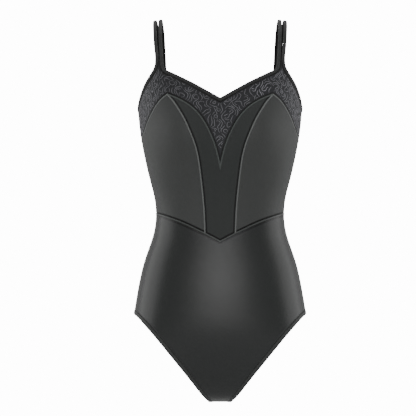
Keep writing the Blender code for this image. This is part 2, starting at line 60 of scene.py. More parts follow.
# Cloth and trimmings
CLOTH_WALL = 0.0012
SEAM_GAP = 0.0003
BINDING_WIDTH = 0.0064
BINDING_WALL = 0.0024
BINDING_PROUD = 0.0006
LEG_BAND_WIDTH = 0.0080
LEG_BAND_WALL = 0.0020
LEG_BAND_PROUD = 0.0004
SHOULDER_SLOPE = math.radians(8)

# The body form: its height below the shoulders, half its width, and its depths in front and behind
Ring = namedtuple("Ring", "z half_width front back")
BODY_RINGS = (
    Ring(-0.0400, 0.1560, 0.0700, 0.0800),
    Ring(-0.0620, 0.1555, 0.0790, 0.0880),
    Ring(-0.0860, 0.1545, 0.0880, 0.0950),
    Ring(-0.1190, 0.1530, 0.0970, 0.1000),
    Ring(-0.1629, 0.1504, 0.1045, 0.1000),
    Ring(-0.2123, 0.1453, 0.1070, 0.0940),
    Ring(-0.2617, 0.1361, 0.1010, 0.0840),
    Ring(-0.2946, 0.1282, 0.0945, 0.0770),
    Ring(-0.3276, 0.1201, 0.0895, 0.0715),
    Ring(-0.3550, 0.1174, 0.0880, 0.0700),
    Ring(-0.3935, 0.1222, 0.0910, 0.0780),
    Ring(-0.4374, 0.1370, 0.0970, 0.0955),
    Ring(-0.4813, 0.1479, 0.1010, 0.1110),
    Ring(-0.5252, 0.1556, 0.1010, 0.1190),
    Ring(-0.5700, 0.1620, 0.0980, 0.1185),
    Ring(-0.6100, 0.1650, 0.0905, 0.1100),
    Ring(-0.6450, 0.1660, 0.0780, 0.0945),
    Ring(-0.6720, 0.1660, 0.0600, 0.0725),
    Ring(-0.6900, 0.1660, 0.0375, 0.0455),
    Ring(-0.6980, 0.1660, 0.0150, 0.0182),
    Ring(-0.7000, 0.1660, 0.0000, 0.0000),
)
SQUARENESS = 0.04
CUP_CENTRE = (0.076, -0.2050)
CUP_SPREAD = (0.050, 0.060)
CUP_DEPTH = 0.019

# Seams and edges of the half at +X, as they are seen from the front or, where behind, from the back
SeamPoint = namedtuple("SeamPoint", "x z behind", defaults=(False,))
AT_SIDE = math.inf
NECK_EDGE = (
    SeamPoint(0.1034, -0.0755),
    SeamPoint(0.1028, -0.0842),
    SeamPoint(0.1014, -0.0897),
    SeamPoint(0.0970, -0.0942),
    SeamPoint(0.0878, -0.0986),
    SeamPoint(0.0732, -0.1056),
    SeamPoint(0.0549, -0.1144),
    SeamPoint(0.0366, -0.1243),
    SeamPoint(0.0183, -0.1345),
    SeamPoint(0.0000, -0.1448),
)
ARMHOLE_EDGE = (
    SeamPoint(0.1184, -0.0755),
    SeamPoint(0.1190, -0.0842),
    SeamPoint(0.1206, -0.0900),
    SeamPoint(0.1243, -0.0970),
    SeamPoint(0.1310, -0.1080),
    SeamPoint(0.1373, -0.1190),
    SeamPoint(0.1420, -0.1299),
    SeamPoint(0.1459, -0.1409),
    SeamPoint(0.1488, -0.1519),
    SeamPoint(AT_SIDE, -0.1629),
    SeamPoint(0.1474, -0.1700, True),
    SeamPoint(0.1400, -0.1738, True),
    SeamPoint(0.1290, -0.1742, True),
    SeamPoint(0.1190, -0.1700, True),
    SeamPoint(0.1128, -0.1625, True),
    SeamPoint(0.1100, -0.1540, True),
    SeamPoint(0.1094, -0.1470, True),
)
SCOOP_EDGE = (
    SeamPoint(0.0950, -0.1470, True),
    SeamPoint(0.0944, -0.1560, True),
    SeamPoint(0.0918, -0.1690, True),
    SeamPoint(0.0860, -0.1880, True),
    SeamPoint(0.0770, -0.2110, True),
    SeamPoint(0.0640, -0.2370, True),
    SeamPoint(0.0470, -0.2610, True),
    SeamPoint(0.0260, -0.2790, True),
    SeamPoint(0.0000, -0.2850, True),
)
YOKE_SIDE_SEAM = (
    SeamPoint(AT_SIDE, -0.2223),
    SeamPoint(0.1382, -0.2050),
    SeamPoint(0.1308, -0.1850),
    SeamPoint(0.1208, -0.1650),
    SeamPoint(0.1098, -0.1492),
    SeamPoint(0.0955, -0.1372),
)
YOKE_CENTRE_SEAM = (
    SeamPoint(0.0955, -0.1372),
    SeamPoint(0.0824, -0.1425),
    SeamPoint(0.0686, -0.1492),
    SeamPoint(0.0549, -0.1578),
    SeamPoint(0.0421, -0.1693),
    SeamPoint(0.0293, -0.1857),
    SeamPoint(0.0183, -0.2059),
    SeamPoint(0.0092, -0.2278),
    SeamPoint(0.0037, -0.2461),
    SeamPoint(0.0000, -0.2626),
)
PRINCESS_SEAM = (
    SeamPoint(0.0955, -0.1372),
    SeamPoint(0.0842, -0.1501),
    SeamPoint(0.0732, -0.1665),
    SeamPoint(0.0641, -0.1821),
    SeamPoint(0.0549, -0.2022),
    SeamPoint(0.0467, -0.2225),
    SeamPoint(0.0393, -0.2489),
    SeamPoint(0.0339, -0.2855),
    SeamPoint(0.0282, -0.3404),
    SeamPoint(0.0260, -0.3898),
)
WAIST_SEAM_FRONT = (
    SeamPoint(AT_SIDE, -0.3537),
    SeamPoint(0.1007, -0.3583),
    SeamPoint(0.0824, -0.3645),
    SeamPoint(0.0641, -0.3718),
    SeamPoint(0.0458, -0.3803),
    SeamPoint(0.0260, -0.3898),
    SeamPoint(0.0000, -0.4035),
)
WAIST_SEAM_BACK = (
    SeamPoint(AT_SIDE, -0.3537, True),
    SeamPoint(0.0900, -0.3560, True),
    SeamPoint(0.0500, -0.3590, True),
    SeamPoint(0.0000, -0.3600, True),
)
LEG_EDGE_FRONT = (
    SeamPoint(AT_SIDE, -0.5386),
    SeamPoint(0.1475, -0.5472),
    SeamPoint(0.1274, -0.5691),
    SeamPoint(0.1087, -0.5911),
    SeamPoint(0.0908, -0.6131),
    SeamPoint(0.0730, -0.6350),
    SeamPoint(0.0556, -0.6570),
    SeamPoint(0.0390, -0.6789),
    SeamPoint(0.0273, -0.6930),
    SeamPoint(0.0222, -0.6984),
    SeamPoint(0.0210, -0.7000),
)
LEG_EDGE_BACK = (
    SeamPoint(AT_SIDE, -0.5386, True),
    SeamPoint(0.1470, -0.5470, True),
    SeamPoint(0.1262, -0.5691, True),
    SeamPoint(0.1070, -0.5911, True),
    SeamPoint(0.0890, -0.6131, True),
    SeamPoint(0.0712, -0.6350, True),
    SeamPoint(0.0540, -0.6570, True),
    SeamPoint(0.0382, -0.6780, True),
    SeamPoint(0.0268, -0.6930, True),
    SeamPoint(0.0222, -0.6984, True),
    SeamPoint(0.0210, -0.7000, True),
)

# Middle lines of the straps over the shoulder, between the ends of the bindings
StrapPoint = namedtuple("StrapPoint", "x y z")
INNER_STRAP = (
    StrapPoint(0.1080, -0.0590, -0.0520),
    StrapPoint(0.1092, -0.0480, -0.0270),
    StrapPoint(0.1096, -0.0300, -0.0080),
    StrapPoint(0.1088, -0.0070, -0.0012),
    StrapPoint(0.1072, 0.0190, -0.0060),
    StrapPoint(0.1052, 0.0430, -0.0240),
    StrapPoint(0.1036, 0.0600, -0.0520),
    StrapPoint(0.1018, 0.0720, -0.0900),
)
OUTER_STRAP = (
    StrapPoint(0.1174, -0.0540, -0.0520),
    StrapPoint(0.1190, -0.0435, -0.0270),
    StrapPoint(0.1196, -0.0270, -0.0085),
    StrapPoint(0.1187, -0.0070, -0.0026),
    StrapPoint(0.1169, 0.0180, -0.0075),
    StrapPoint(0.1146, 0.0400, -0.0250),
    StrapPoint(0.1126, 0.0555, -0.0520),
    StrapPoint(0.1104, 0.0665, -0.0900),
)

# How finely each line is stepped, and the rows of the tables where the steps change
FINER = 5
TIP_ROWS = 3 * FINER
TIP_COLUMNS = 2 * FINER
ARMHOLE_STEPS = (TIP_ROWS, 8 * FINER, 5 * FINER, TIP_ROWS)
ARMHOLE_STOPS = (3, 9, 13)
NECK_STEPS = (TIP_ROWS, 9 * FINER)
NECK_STOPS = (3,)
SCOOP_STEPS = (TIP_ROWS, 7 * FINER)
SCOOP_STOPS = (2,)
SIDE_STEPS = ARMHOLE_STEPS[1] + TIP_COLUMNS // 2
CENTRE_STEPS = NECK_STEPS[1] + TIP_COLUMNS - TIP_COLUMNS // 2
BACK_STEPS = ARMHOLE_STEPS[2] + TIP_COLUMNS + SCOOP_STEPS[1]
YOKE_ROWS = 5 * FINER
YOKE_POINT_STEPS = 5 * FINER
CENTRE_COLUMNS = 3 * FINER
CENTRE_LINE_ROWS = 6 * FINER
BODICE_ROWS = CENTRE_STEPS + CENTRE_LINE_ROWS
BACK_ROWS = 9 * FINER
HIP_ROWS = 8 * FINER
GUSSET_COLUMNS = 5 * FINER
LEG_STEPS = (8 * FINER, 10 * FINER)
LEG_STOPS = (4,)
BRIEF_COLUMNS = LEG_STEPS[0] + GUSSET_COLUMNS
STRAP_STEPS = 110
FINE_STEPS = 800
SOLVER_ROUNDS = 6
SMALL_STEP = 1e-4
SHARED_CORNER_DIGITS = 7
SHARP_ANGLE = math.radians(60)

# Seams: the turned edge of each panel, and the welt that stands beside the seam
EDGE_TURN = 0.0009
EDGE_DROP = 0.0006
WELT_INSET = 0.0017
WELT_HALF_WIDTH = 0.0013
WELT_HEIGHT = 0.0006
WELT_FOOT = 0.0002
WELT_SIDES = 6


def smooth_curve(knots, values, last_slope=None):
    """A cubic spline through values at knots, with free ends or with a slope at its last end."""
    knots = np.asarray(knots, float)
    values = np.asarray(values, float).reshape(len(knots), -1)
    step = np.diff(knots)[:, None]
    rise = np.diff(values, axis=0) / step
    count = len(knots)
    matrix = np.zeros((count, count))
    known = np.zeros_like(values)
    matrix[0, :2] = 2, 1
    known[0] = 3 * rise[0]
    for i in range(1, count - 1):
        before, after = 1 / step[i - 1, 0], 1 / step[i, 0]
        matrix[i, i - 1 : i + 2] = before, 2 * (before + after), after
        known[i] = 3 * (rise[i - 1] * before + rise[i] * after)
    if last_slope is None:
        matrix[-1, -2:] = 1, 2
        known[-1] = 3 * rise[-1]
    else:
        matrix[-1, -1] = 1
        known[-1] = last_slope
    slope = np.linalg.solve(matrix, known)

    def value_at(place):
        place = np.asarray(place, float)
        i = np.clip(np.searchsorted(knots, place, side="right") - 1, 0, count - 2)
        width = step[i, 0]
        t = ((place - knots[i]) / width)[..., None]
        width = width[..., None]
        return (
            values[i] * (1 + 2 * t) * (1 - t) ** 2
            + slope[i] * width * t * (1 - t) ** 2
            + values[i + 1] * t**2 * (3 - 2 * t)
            + slope[i + 1] * width * t**2 * (t - 1)
        )

    return value_at


def rings_by_level():
    """The rings as a smooth function of level, which is the length down the middle of the front."""
    rings = np.array(BODY_RINGS)
    run = np.hypot(np.diff(rings[:, 0]), np.diff(rings[:, 2]))
    levels = np.concatenate([[0], np.cumsum(run)])
    back_share = BODY_RINGS[-2].back / BODY_RINGS[-2].front
    return smooth_curve(levels, rings, (0, 0, -1, -back_share)), levels[-1]


RING_AT, LAST_LEVEL = rings_by_level()
FINE_LEVELS = np.linspace(0, LAST_LEVEL, 4 * FINE_STEPS)
FINE_HEIGHTS = RING_AT(FINE_LEVELS)[:, 0]
FINE_ANGLES = np.linspace(0, math.pi / 2, 4 * FINE_STEPS)


def width_share(angle):
    return (np.sin(angle) + SQUARENESS * np.sin(3 * angle)) / (1 - SQUARENESS)


def depth_share(angle):
    return (np.cos(angle) - SQUARENESS * np.cos(3 * angle)) / (1 - SQUARENESS)


def body(line):
    """Points of the form. A line's columns are the angle from the middle of the front and the level."""
    angle, level = line[..., 0], line[..., 1]
    z, half_width, front, back = np.moveaxis(RING_AT(level), -1, 0)
    x = half_width * width_share(angle)
    ahead = depth_share(angle)
    across = [(x - side * CUP_CENTRE[0]) / CUP_SPREAD[0] for side in (1, -1)]
    up = (z - CUP_CENTRE[1]) / CUP_SPREAD[1]
    cups = CUP_DEPTH * sum(np.exp(-(u**2) - up**2) for u in across)
    y = -ahead * np.where(ahead > 0, front + cups, back)
    return np.stack([x, y, z], axis=-1)


def directions(line):
    """How the form's points move with the angle and with the level."""
    turn = np.array([SMALL_STEP, 0])
    drop = np.array([0, SMALL_STEP])
    round_it = (body(line + turn) - body(line - turn)) / (2 * SMALL_STEP)
    down_it = (body(line + drop) - body(line - drop)) / (2 * SMALL_STEP)
    return round_it, down_it


def unit(vectors):
    return vectors / np.linalg.norm(vectors, axis=-1, keepdims=True)


def outward(line):
    round_it, down_it = directions(line)
    return unit(np.cross(down_it, round_it))


def spot(point):
    """The angle and level of a seam point."""
    level = np.interp(-point.z, -FINE_HEIGHTS, FINE_LEVELS)
    share = point.x / RING_AT(level)[1]
    angle = np.interp(share, width_share(FINE_ANGLES), FINE_ANGLES)
    return (math.pi - angle if point.behind else angle), level


def lengths_along(points):
    return np.concatenate([[0], np.cumsum(np.linalg.norm(np.diff(points, axis=0), axis=1))])


def trace(points, steps, stops=()):
    """A smooth line on the form through seam points, in equal steps between its stops."""
    knots = np.array([spot(point) for point in points])
    run = lengths_along(body(knots))
    curve = smooth_curve(run, knots)
    ends = [0, *stops, len(points) - 1]
    pieces = []
    for first, last, count in zip(ends, ends[1:], steps):
        fine = curve(np.linspace(run[first], run[last], FINE_STEPS))
        fine[:, 1] = np.minimum(fine[:, 1], LAST_LEVEL)
        fine_run = lengths_along(body(fine))
        wanted = np.linspace(0, fine_run[-1], count + 1)
        piece = np.stack([np.interp(wanted, fine_run, column) for column in fine.T], axis=-1)
        pieces.append(piece[1:] if pieces else piece)
    return np.vstack(pieces)


def straight(start, end, steps):
    return start + np.linspace(0, 1, steps + 1)[:, None] * (end - start)


def crossings(points, normals, closed=False):
    """The way across a line in the cloth, to the left of its run, lengthened for the mitre."""
    if closed:
        first, last = points[-1], points[0]
    else:
        first, last = 2 * points[0] - points[1], 2 * points[-1] - points[-2]
    longer = np.vstack([first, points, last])
    before = unit(np.cross(normals, points - longer[:-2]))
    after = unit(np.cross(normals, longer[2:] - points))
    return (before + after) / (1 + np.sum(before * after, axis=1, keepdims=True))


def both_halves(half):
    """Points from one side's end, through the middle, to the other side's end."""
    return np.concatenate([half, half[::-1][1:] * np.array([-1, 1, 1])])


def moved_across(line, distance, closed=False, to_middle=False):
    """A line of the form moved across the cloth. One that ends in the middle is mitred with its twin."""
    points, normals = body(line), outward(line)
    if to_middle:
        across = crossings(both_halves(points), both_halves(normals))[: len(line)]
    else:
        across = crossings(points, normals, closed)
    target = points + distance * across
    moved = line.copy()
    for _ in range(SOLVER_ROUNDS):
        sides = np.stack(directions(moved), axis=-1)
        turned = np.swapaxes(sides, -1, -2)
        short = (target - body(moved))[..., None]
        moved += np.linalg.solve(turned @ sides, turned @ short)[..., 0]
        moved[:, 1] = np.minimum(moved[:, 1], LAST_LEVEL)
    return moved


def between(top, bottom, first, last):
    """A grid on the form between four lines. Rows run from first to last, and columns down."""
    along = np.linspace(0, 1, len(top))[None, :, None]
    down = np.linspace(0, 1, len(first))[:, None, None]
    rows = (1 - down) * top[None] + down * bottom[None]
    columns = (1 - along) * first[:, None] + along * last[:, None]
    upper = (1 - along) * top[0] + along * top[-1]
    lower = (1 - along) * bottom[0] + along * bottom[-1]
    return rows + columns - (1 - down) * upper - down * lower


def seam_lines():
    """Every seam and edge of the +X half as a line on the form, by name."""
    corner = len(WAIST_SEAM_FRONT) - 2
    leg_front = trace(LEG_EDGE_FRONT, LEG_STEPS, LEG_STOPS)
    leg_back = trace(LEG_EDGE_BACK, LEG_STEPS, LEG_STOPS)
    lines = {
        "neck": trace(NECK_EDGE, NECK_STEPS, NECK_STOPS),
        "scoop": trace(SCOOP_EDGE, SCOOP_STEPS, SCOOP_STOPS),
        "armhole": trace(ARMHOLE_EDGE, ARMHOLE_STEPS, ARMHOLE_STOPS),
        "leg": np.vstack([leg_front, leg_back[::-1][1:-1]]),
        "yoke_side": trace(YOKE_SIDE_SEAM, [SIDE_STEPS]),
        "yoke_centre": trace(YOKE_CENTRE_SEAM, [CENTRE_STEPS]),
        "princess": trace(PRINCESS_SEAM, [BODICE_ROWS]),
        "waist_front": trace(WAIST_SEAM_FRONT, (SIDE_STEPS, CENTRE_COLUMNS), [corner]),
        "waist_back": trace(WAIST_SEAM_BACK, [BACK_STEPS]),
        "brief_top_front": trace(WAIST_SEAM_FRONT, [BRIEF_COLUMNS]),
        "brief_top_back": trace(WAIST_SEAM_BACK, [BRIEF_COLUMNS]),
    }
    lines["neck_in"] = moved_across(lines["neck"], BINDING_WIDTH, to_middle=True)
    lines["scoop_in"] = moved_across(lines["scoop"], -BINDING_WIDTH, to_middle=True)
    lines["armhole_in"] = moved_across(lines["armhole"], -BINDING_WIDTH)
    lines["leg_in"] = moved_across(lines["leg"], -LEG_BAND_WIDTH, closed=True)
    return lines


LINES = seam_lines()


def tip_and_foot(armhole, edge, rows):
    """The tip of a panel below a strap, and the line across its foot."""
    head = straight(armhole[0], edge[0], TIP_COLUMNS)
    foot = straight(armhole[rows], edge[rows], TIP_COLUMNS)
    return between(head, foot, armhole[: rows + 1], edge[: rows + 1]), foot


# Where a grid gets a line of its own beside a seam: an index, and the way it lies from there
Beside = namedtuple("Beside", "index way")
Patch = namedtuple("Patch", "grid rows columns")


def bodice_patches():
    """The grids of the +X half of each bodice panel, with the lines beside their seams."""
    armhole_in, neck_in, scoop_in = (LINES[k] for k in ("armhole_in", "neck_in", "scoop_in"))
    front_tip, front_foot = tip_and_foot(armhole_in, neck_in, TIP_ROWS)
    back_tip, back_foot = tip_and_foot(armhole_in[::-1], scoop_in, TIP_ROWS)
    side_top = TIP_ROWS + ARMHOLE_STEPS[1]
    armhole_front = armhole_in[TIP_ROWS : side_top + 1][::-1]
    armhole_back = armhole_in[side_top : len(armhole_in) - TIP_ROWS]
    yoke_side, yoke_centre = LINES["yoke_side"], LINES["yoke_centre"]
    waist_front, waist_back = LINES["waist_front"], LINES["waist_back"]
    princess = LINES["princess"]
    upper_side = straight(armhole_in[side_top], yoke_side[0], YOKE_ROWS)
    centre_line = straight(yoke_centre[-1], waist_front[-1], CENTRE_LINE_ROWS)

    split = CENTRE_STEPS - YOKE_POINT_STEPS
    half_way = np.array([0, yoke_centre[split, 1]])
    across = straight(yoke_centre[split], half_way, YOKE_POINT_STEPS)
    yoke = between(
        np.vstack([armhole_front, front_foot[1:-1], neck_in[TIP_ROWS:]]),
        np.vstack([yoke_side, yoke_centre[1:split], across]),
        upper_side,
        straight(neck_in[-1], half_way, YOKE_ROWS),
    )
    yoke_point = between(
        across,
        straight(yoke_centre[-1], yoke_centre[-1], YOKE_POINT_STEPS),
        yoke_centre[split:],
        straight(half_way, yoke_centre[-1], YOKE_POINT_STEPS),
    )
    centre = between(
        straight(princess[0], princess[0], CENTRE_COLUMNS),
        waist_front[SIDE_STEPS:],
        princess,
        np.vstack([yoke_centre, centre_line[1:]]),
    )
    side = between(
        yoke_side,
        waist_front[: SIDE_STEPS + 1],
        straight(yoke_side[0], waist_front[0], BODICE_ROWS),
        princess,
    )
    back = between(
        np.vstack([armhole_back, back_foot[1:-1], scoop_in[TIP_ROWS:]]),
        waist_back,
        np.vstack([upper_side, straight(yoke_side[0], waist_back[0], BACK_ROWS)[1:]]),
        straight(scoop_in[-1], waist_back[-1], YOKE_ROWS + BACK_ROWS),
    )
    both = (Beside(0, 1), Beside(-1, -1))
    start = (Beside(0, 1),)
    end = (Beside(-1, -1),)
    split_column = SIDE_STEPS + split
    return {
        "front_yoke": [
            Patch(front_tip, (), ()),
            Patch(yoke, end, (Beside(0, 1), Beside(split_column, 1))),
            Patch(yoke_point, (), start),
        ],
        "centre_front_panel": [Patch(centre, end, both)],
        "side_front_panel": [Patch(side, both, both)],
        "back_bodice": [Patch(back_tip, (), ()), Patch(back, end, start)],
    }


def brief_patches():
    """The grids of the +X half of the brief's front and back."""
    steps = sum(LEG_STEPS)
    leg_in = LINES["leg_in"]
    front_edge = leg_in[: steps + 1]
    crotch_back = front_edge[-1] * np.array([-1, 1]) + np.array([math.pi, 0])
    back_edge = np.vstack([leg_in[:1], leg_in[:steps:-1], [crotch_back]])
    halves = (
        ("brief_front", LINES["brief_top_front"], front_edge, 0),
        ("brief_back", LINES["brief_top_back"], back_edge, math.pi),
    )
    split = LEG_STEPS[0]
    made = {}
    for name, waist, edge, middle_angle in halves:
        half_way = np.array([middle_angle, edge[split, 1]])
        across = straight(edge[split], half_way, GUSSET_COLUMNS)
        crotch = straight(edge[-1], np.array([middle_angle, LAST_LEVEL]), GUSSET_COLUMNS)
        upper = between(
            waist,
            np.vstack([edge[:split], across]),
            straight(waist[0], edge[0], HIP_ROWS),
            straight(waist[-1], half_way, HIP_ROWS),
        )
        down_middle = straight(half_way, crotch[-1], LEG_STEPS[1])
        lower = between(across, crotch, edge[split:], down_middle)
        made[name] = [
            Patch(upper, (Beside(0, 1), Beside(-1, -1)), (Beside(0, 1), Beside(split, 1))),
            Patch(lower, (Beside(-1, -1),), (Beside(0, 1),)),
        ]
    return made


def with_lines_beside(grid, marks):
    """The grid with a row put in beside each marked row, at the width of a turned edge."""
    rows = list(grid)
    places = sorted(((m.index % len(grid), m.way) for m in marks), reverse=True)
    for index, way in places:
        here, there = grid[index], grid[index + way]
        gap = np.linalg.norm(body(there) - body(here), axis=-1)
        share = np.minimum(EDGE_TURN / np.maximum(gap, 1e-9), 0.5)[:, None]
        rows.insert(index + 1 if way > 0 else index, here + share * (there - here))
    return np.array(rows)


def refined(patch):
    grid = with_lines_beside(patch.grid, patch.rows)
    return np.swapaxes(with_lines_beside(np.swapaxes(grid, 0, 1), patch.columns), 0, 1)


def joined(grids):
    """Grids of one panel as places on the form and faces that share their corners."""
    corners, places, faces = {}, [], []
    for grid, side in grids:
        numbers = np.empty(grid.shape[:2], int)
        points = body(grid)
        for row, column in np.ndindex(numbers.shape):
            key = tuple(np.round(points[row, column], SHARED_CORNER_DIGITS) + 0.0)
            if key not in corners:
                corners[key] = len(places)
                places.append(grid[row, column])
            numbers[row, column] = corners[key]
        for upper, lower in zip(numbers, numbers[1:]):
            for face in zip(upper, upper[1:], lower[1:], lower):
                face = tuple(dict.fromkeys(face))
                if len(face) > 2:
                    faces.append(face[::-1] if side < 0 else face)
    return np.array(places), faces


def rim_of(faces):
    """The corners round the open edge of a sheet of faces, in order."""
    sides = {side for face in faces for side in zip(face, face[1:] + face[:1])}
    following = {here: there for here, there in sides if (there, here) not in sides}
    rim = [min(following)]
    while following[rim[-1]] != rim[0]:
        rim.append(following[rim[-1]])
    return rim


def distances_to(points, edge, closed=True):
    """The distance from each point to a run of edge points."""
    start, run = edge, np.roll(edge, -1, axis=0) - edge
    if not closed:
        start, run = start[:-1], run[:-1]
    length2 = np.maximum(np.sum(run**2, axis=1), 1e-12)
    nearest = np.full(len(points), np.inf)
    for here, way, size in zip(start, run, length2):
        share = np.clip(((points - here) @ way) / size, 0, 1)
        gap = np.linalg.norm(points - here - share[:, None] * way, axis=1)
        nearest = np.minimum(nearest, gap)
    return nearest


CLOTH_RADIUS = 0.115
FAR_FROM_SEAM = 0.02
FLIP = np.array([-1, 1, 1])

# A closed body of cloth or thread, its distances and marks at each corner, and its cloth map
Shell = namedtuple("Shell", "points faces marks cloth")
MARKS = ("seam", "under", "welt", "turning")


def panel_shell(patches, whole=True, side=1, turning=None, under=()):
    """A wall of cloth under grids of the form, with its edges drawn in and turned down.

    Under are the seam lines where another piece lies on top of this one; beside them the cloth gets painted
    shade.
    """
    grids = []
    for patch in patches:
        grid = refined(patch)
        if side > 0 or whole:
            grids.append((grid, 1))
        if side < 0 or whole:
            grids.append((grid * np.array([-1, 1]), -1))
    places, faces = joined(grids)
    points, normals = body(places), outward(places)
    rim = rim_of(faces)
    into = crossings(points[rim], normals[rim], closed=True)
    first = faces[0]
    facing = np.cross(points[first[1]] - points[first[0]], points[first[-1]] - points[first[0]])
    turn = math.copysign(SEAM_GAP / 2, facing @ normals[first[0]])
    seam = distances_to(points, points[rim])
    outer = points.copy()
    outer[rim] += turn * into - EDGE_DROP * normals[rim]
    inner = points - CLOTH_WALL * normals
    inner[rim] += turn * into
    below = len(outer)
    walls = [*faces, *([corner + below for corner in face[::-1]] for face in faces)]
    for here, there in zip(rim, rim[1:] + rim[:1]):
        walls.append((here, here + below, there + below, there))
    cloth = np.stack([places[:, 0] * CLOTH_RADIUS, places[:, 1]], axis=-1)
    if turning is None:
        turned = np.full(below, FAR_FROM_SEAM)
    else:
        turned = distances_to(points, both_halves(body(turning)), closed=False)
    shaded = np.full(below, FAR_FROM_SEAM)
    halves = [np.ones(3)] if side > 0 or whole else []
    halves += [FLIP] if side < 0 or whole else []
    for line in under:
        for half in halves:
            shaded = np.minimum(shaded, distances_to(points, body(line) * half, closed=False))
    marks = {"seam": seam, "under": shaded, "welt": np.zeros(below), "turning": turned}
    return Shell(
        np.concatenate([outer, inner]),
        walls,
        {name: np.tile(values, 2) for name, values in marks.items()},
        np.tile(cloth, (2, 1)),
    )


def plain_marks(count, welt=0.0):
    return {
        "seam": np.full(count, FAR_FROM_SEAM),
        "under": np.full(count, FAR_FROM_SEAM),
        "welt": np.full(count, welt),
        "turning": np.full(count, FAR_FROM_SEAM),
    }


def swept(points, across, normals, section, closed=False, sizes=None, welt=0.0, shade_base=False):
    """A section swept along points, set across and out at each of them, as a shell."""
    sizes = np.ones(len(points)) if sizes is None else sizes
    scaled = section[None] * sizes[:, None, None]
    rings = points[:, None] + scaled[..., :1] * across[:, None] + scaled[..., 1:] * normals[:, None]
    count, corners = rings.shape[:2]
    number = np.arange(count * corners).reshape(count, corners)
    faces = [] if closed else [tuple(number[0]), tuple(number[-1][::-1])]
    for i in range(count if closed else count - 1):
        here, there = number[i], number[(i + 1) % count]
        for j in range(corners):
            k = (j + 1) % corners
            faces.append((here[j], there[j], there[k], here[k]))
    round_it = lengths_along(section)
    along = lengths_along(points)
    cloth = np.stack(np.broadcast_arrays(round_it[None], along[:, None]), axis=-1)
    marks = plain_marks(count * corners, welt)
    # Painted shade: the base of the section is marked as lying under another piece, so the underside is drawn
    # nearly black.
    if shade_base:
        at_base = np.isclose(section[:, 1], section[:, 1].min())
        marks["under"] = np.tile(np.where(at_base, 0.0, FAR_FROM_SEAM), count)
    return Shell(rings.reshape(-1, 3), faces, marks, cloth.reshape(-1, 2))


def on_side(side, shell):
    """A shell on the garment's left, 1, or turned over to its right, -1."""
    if side > 0:
        return shell
    return shell._replace(points=shell.points * FLIP, faces=[face[::-1] for face in shell.faces])


def add_object(name, shells, material):
    """One object of closed shells, with its marks as attributes and its cloth map."""
    shape = bmesh.new()
    layers = {mark: shape.verts.layers.float.new(mark) for mark in MARKS}
    map_layer = shape.loops.layers.uv.new("cloth")
    spread = []
    for shell in shells:
        corners = [shape.verts.new(point) for point in shell.points]
        for mark, layer in layers.items():
            for corner, value in zip(corners, shell.marks[mark]):
                corner[layer] = value
        for face in shell.faces:
            shape.faces.new([corners[i] for i in face])
        spread.append(shell.cloth)
    spread = np.concatenate(spread)
    shape.verts.index_update()
    bmesh.ops.recalc_face_normals(shape, faces=shape.faces)
    for face in shape.faces:
        for loop in face.loops:
            loop[map_layer].uv = spread[loop.vert.index]
    mesh = bpy.data.meshes.new(name)
    shape.to_mesh(mesh)
    shape.free()
    mesh.materials.append(material)
    mesh.shade_smooth()
    mesh.set_sharp_from_angle(angle=SHARP_ANGLE)
    piece = bpy.data.objects.new(name, mesh)
    bpy.context.scene.collection.objects.link(piece)
    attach(piece, BODY)
    return piece


def half_round(half_width, height, foot, sides):
    """A low half-round outline across a line and out from it, sunk by its foot."""
    turn = np.linspace(0, math.pi, sides + 1)
    arch = np.stack([half_width * np.cos(turn), height * np.sin(turn)], axis=-1)
    return np.vstack([[half_width, -foot], arch, [-half_width, -foot]])


def welt_shell(line, inset, closed=False, to_middle=False):
    """The raised welt beside a seam, on the panel that lies on top, lightened by a painted highlight."""
    moved = moved_across(line, inset, closed, to_middle)
    points, normals = body(moved), outward(moved)
    if to_middle:
        points, normals = both_halves(points), both_halves(normals)
    across = crossings(points, normals, closed)
    section = half_round(WELT_HALF_WIDTH, WELT_HEIGHT, WELT_FOOT, WELT_SIDES)
    return swept(points, across, normals, section, closed, welt=1.0)


def strip_shell(line, depth, closed=False, to_middle=False, half_width=None):
    """A seam's allowance: a flat strip inside the cloth, behind the seam."""
    points, normals = body(line), outward(line)
    if to_middle:
        points, normals = both_halves(points), both_halves(normals)
    across = crossings(points, normals, closed)
    half = ALLOWANCE_HALF_WIDTH if half_width is None else half_width
    low, high = -depth - ALLOWANCE_WALL, -depth
    section = np.array([(half, low), (half, high), (-half, high), (-half, low)])
    return swept(points, across, normals, section, closed)


def band_section(width, wall, proud, rounding, crown, groove_at):
    """A folded band's outline: crowned on top, with a groove where its stitches pull it down."""
    side = (width - SEAM_GAP) / 2
    top, base = proud, proud - wall
    flat = side - rounding
    turn = np.linspace(0, math.pi / 2, BAND_CORNER_STEPS + 1)
    corner = np.stack([flat + rounding * np.cos(turn), top - rounding + rounding * np.sin(turn)], axis=-1)
    u = np.linspace(flat, -flat, BAND_TOP_STEPS + 1)[1:-1]
    rise = crown * (1 - (u / flat) ** 2)
    for place in groove_at:
        rise = rise - GROOVE_DEPTH * np.exp(-(((u - place) / GROOVE_SPREAD) ** 2))
    arch = np.stack([u, top + rise], axis=-1)
    other = corner[::-1] * np.array([-1, 1])
    return np.vstack([[-side, base], [side, base], corner, arch, other])


# Seam allowances, inside the cloth: behind the panels' seams, and behind bindings and hems
ALLOWANCE_HALF_WIDTH = 0.0030
ALLOWANCE_WALL = 0.0005
SIDE_SEAM_STEPS = 60
PANEL_SEAM_DEPTH = CLOTH_WALL + 0.00004
BINDING_SEAM_DEPTH = BINDING_WALL - BINDING_PROUD + 0.00004
HEM_SEAM_DEPTH = LEG_BAND_WALL - LEG_BAND_PROUD + 0.00004

# Bindings, straps and hems
BAND_CORNER_STEPS = 4
BAND_TOP_STEPS = 16
BINDING_ROUNDING = 0.0010
BINDING_CROWN = 0.0004
HEM_ROUNDING = 0.0008
HEM_CROWN = 0.0002
GROOVE_DEPTH = 0.00028
GROOVE_SPREAD = 0.00035
BINDING_STITCH_AT = 0.0019
HEM_STITCH_AT = (0.0027, 0.0002)

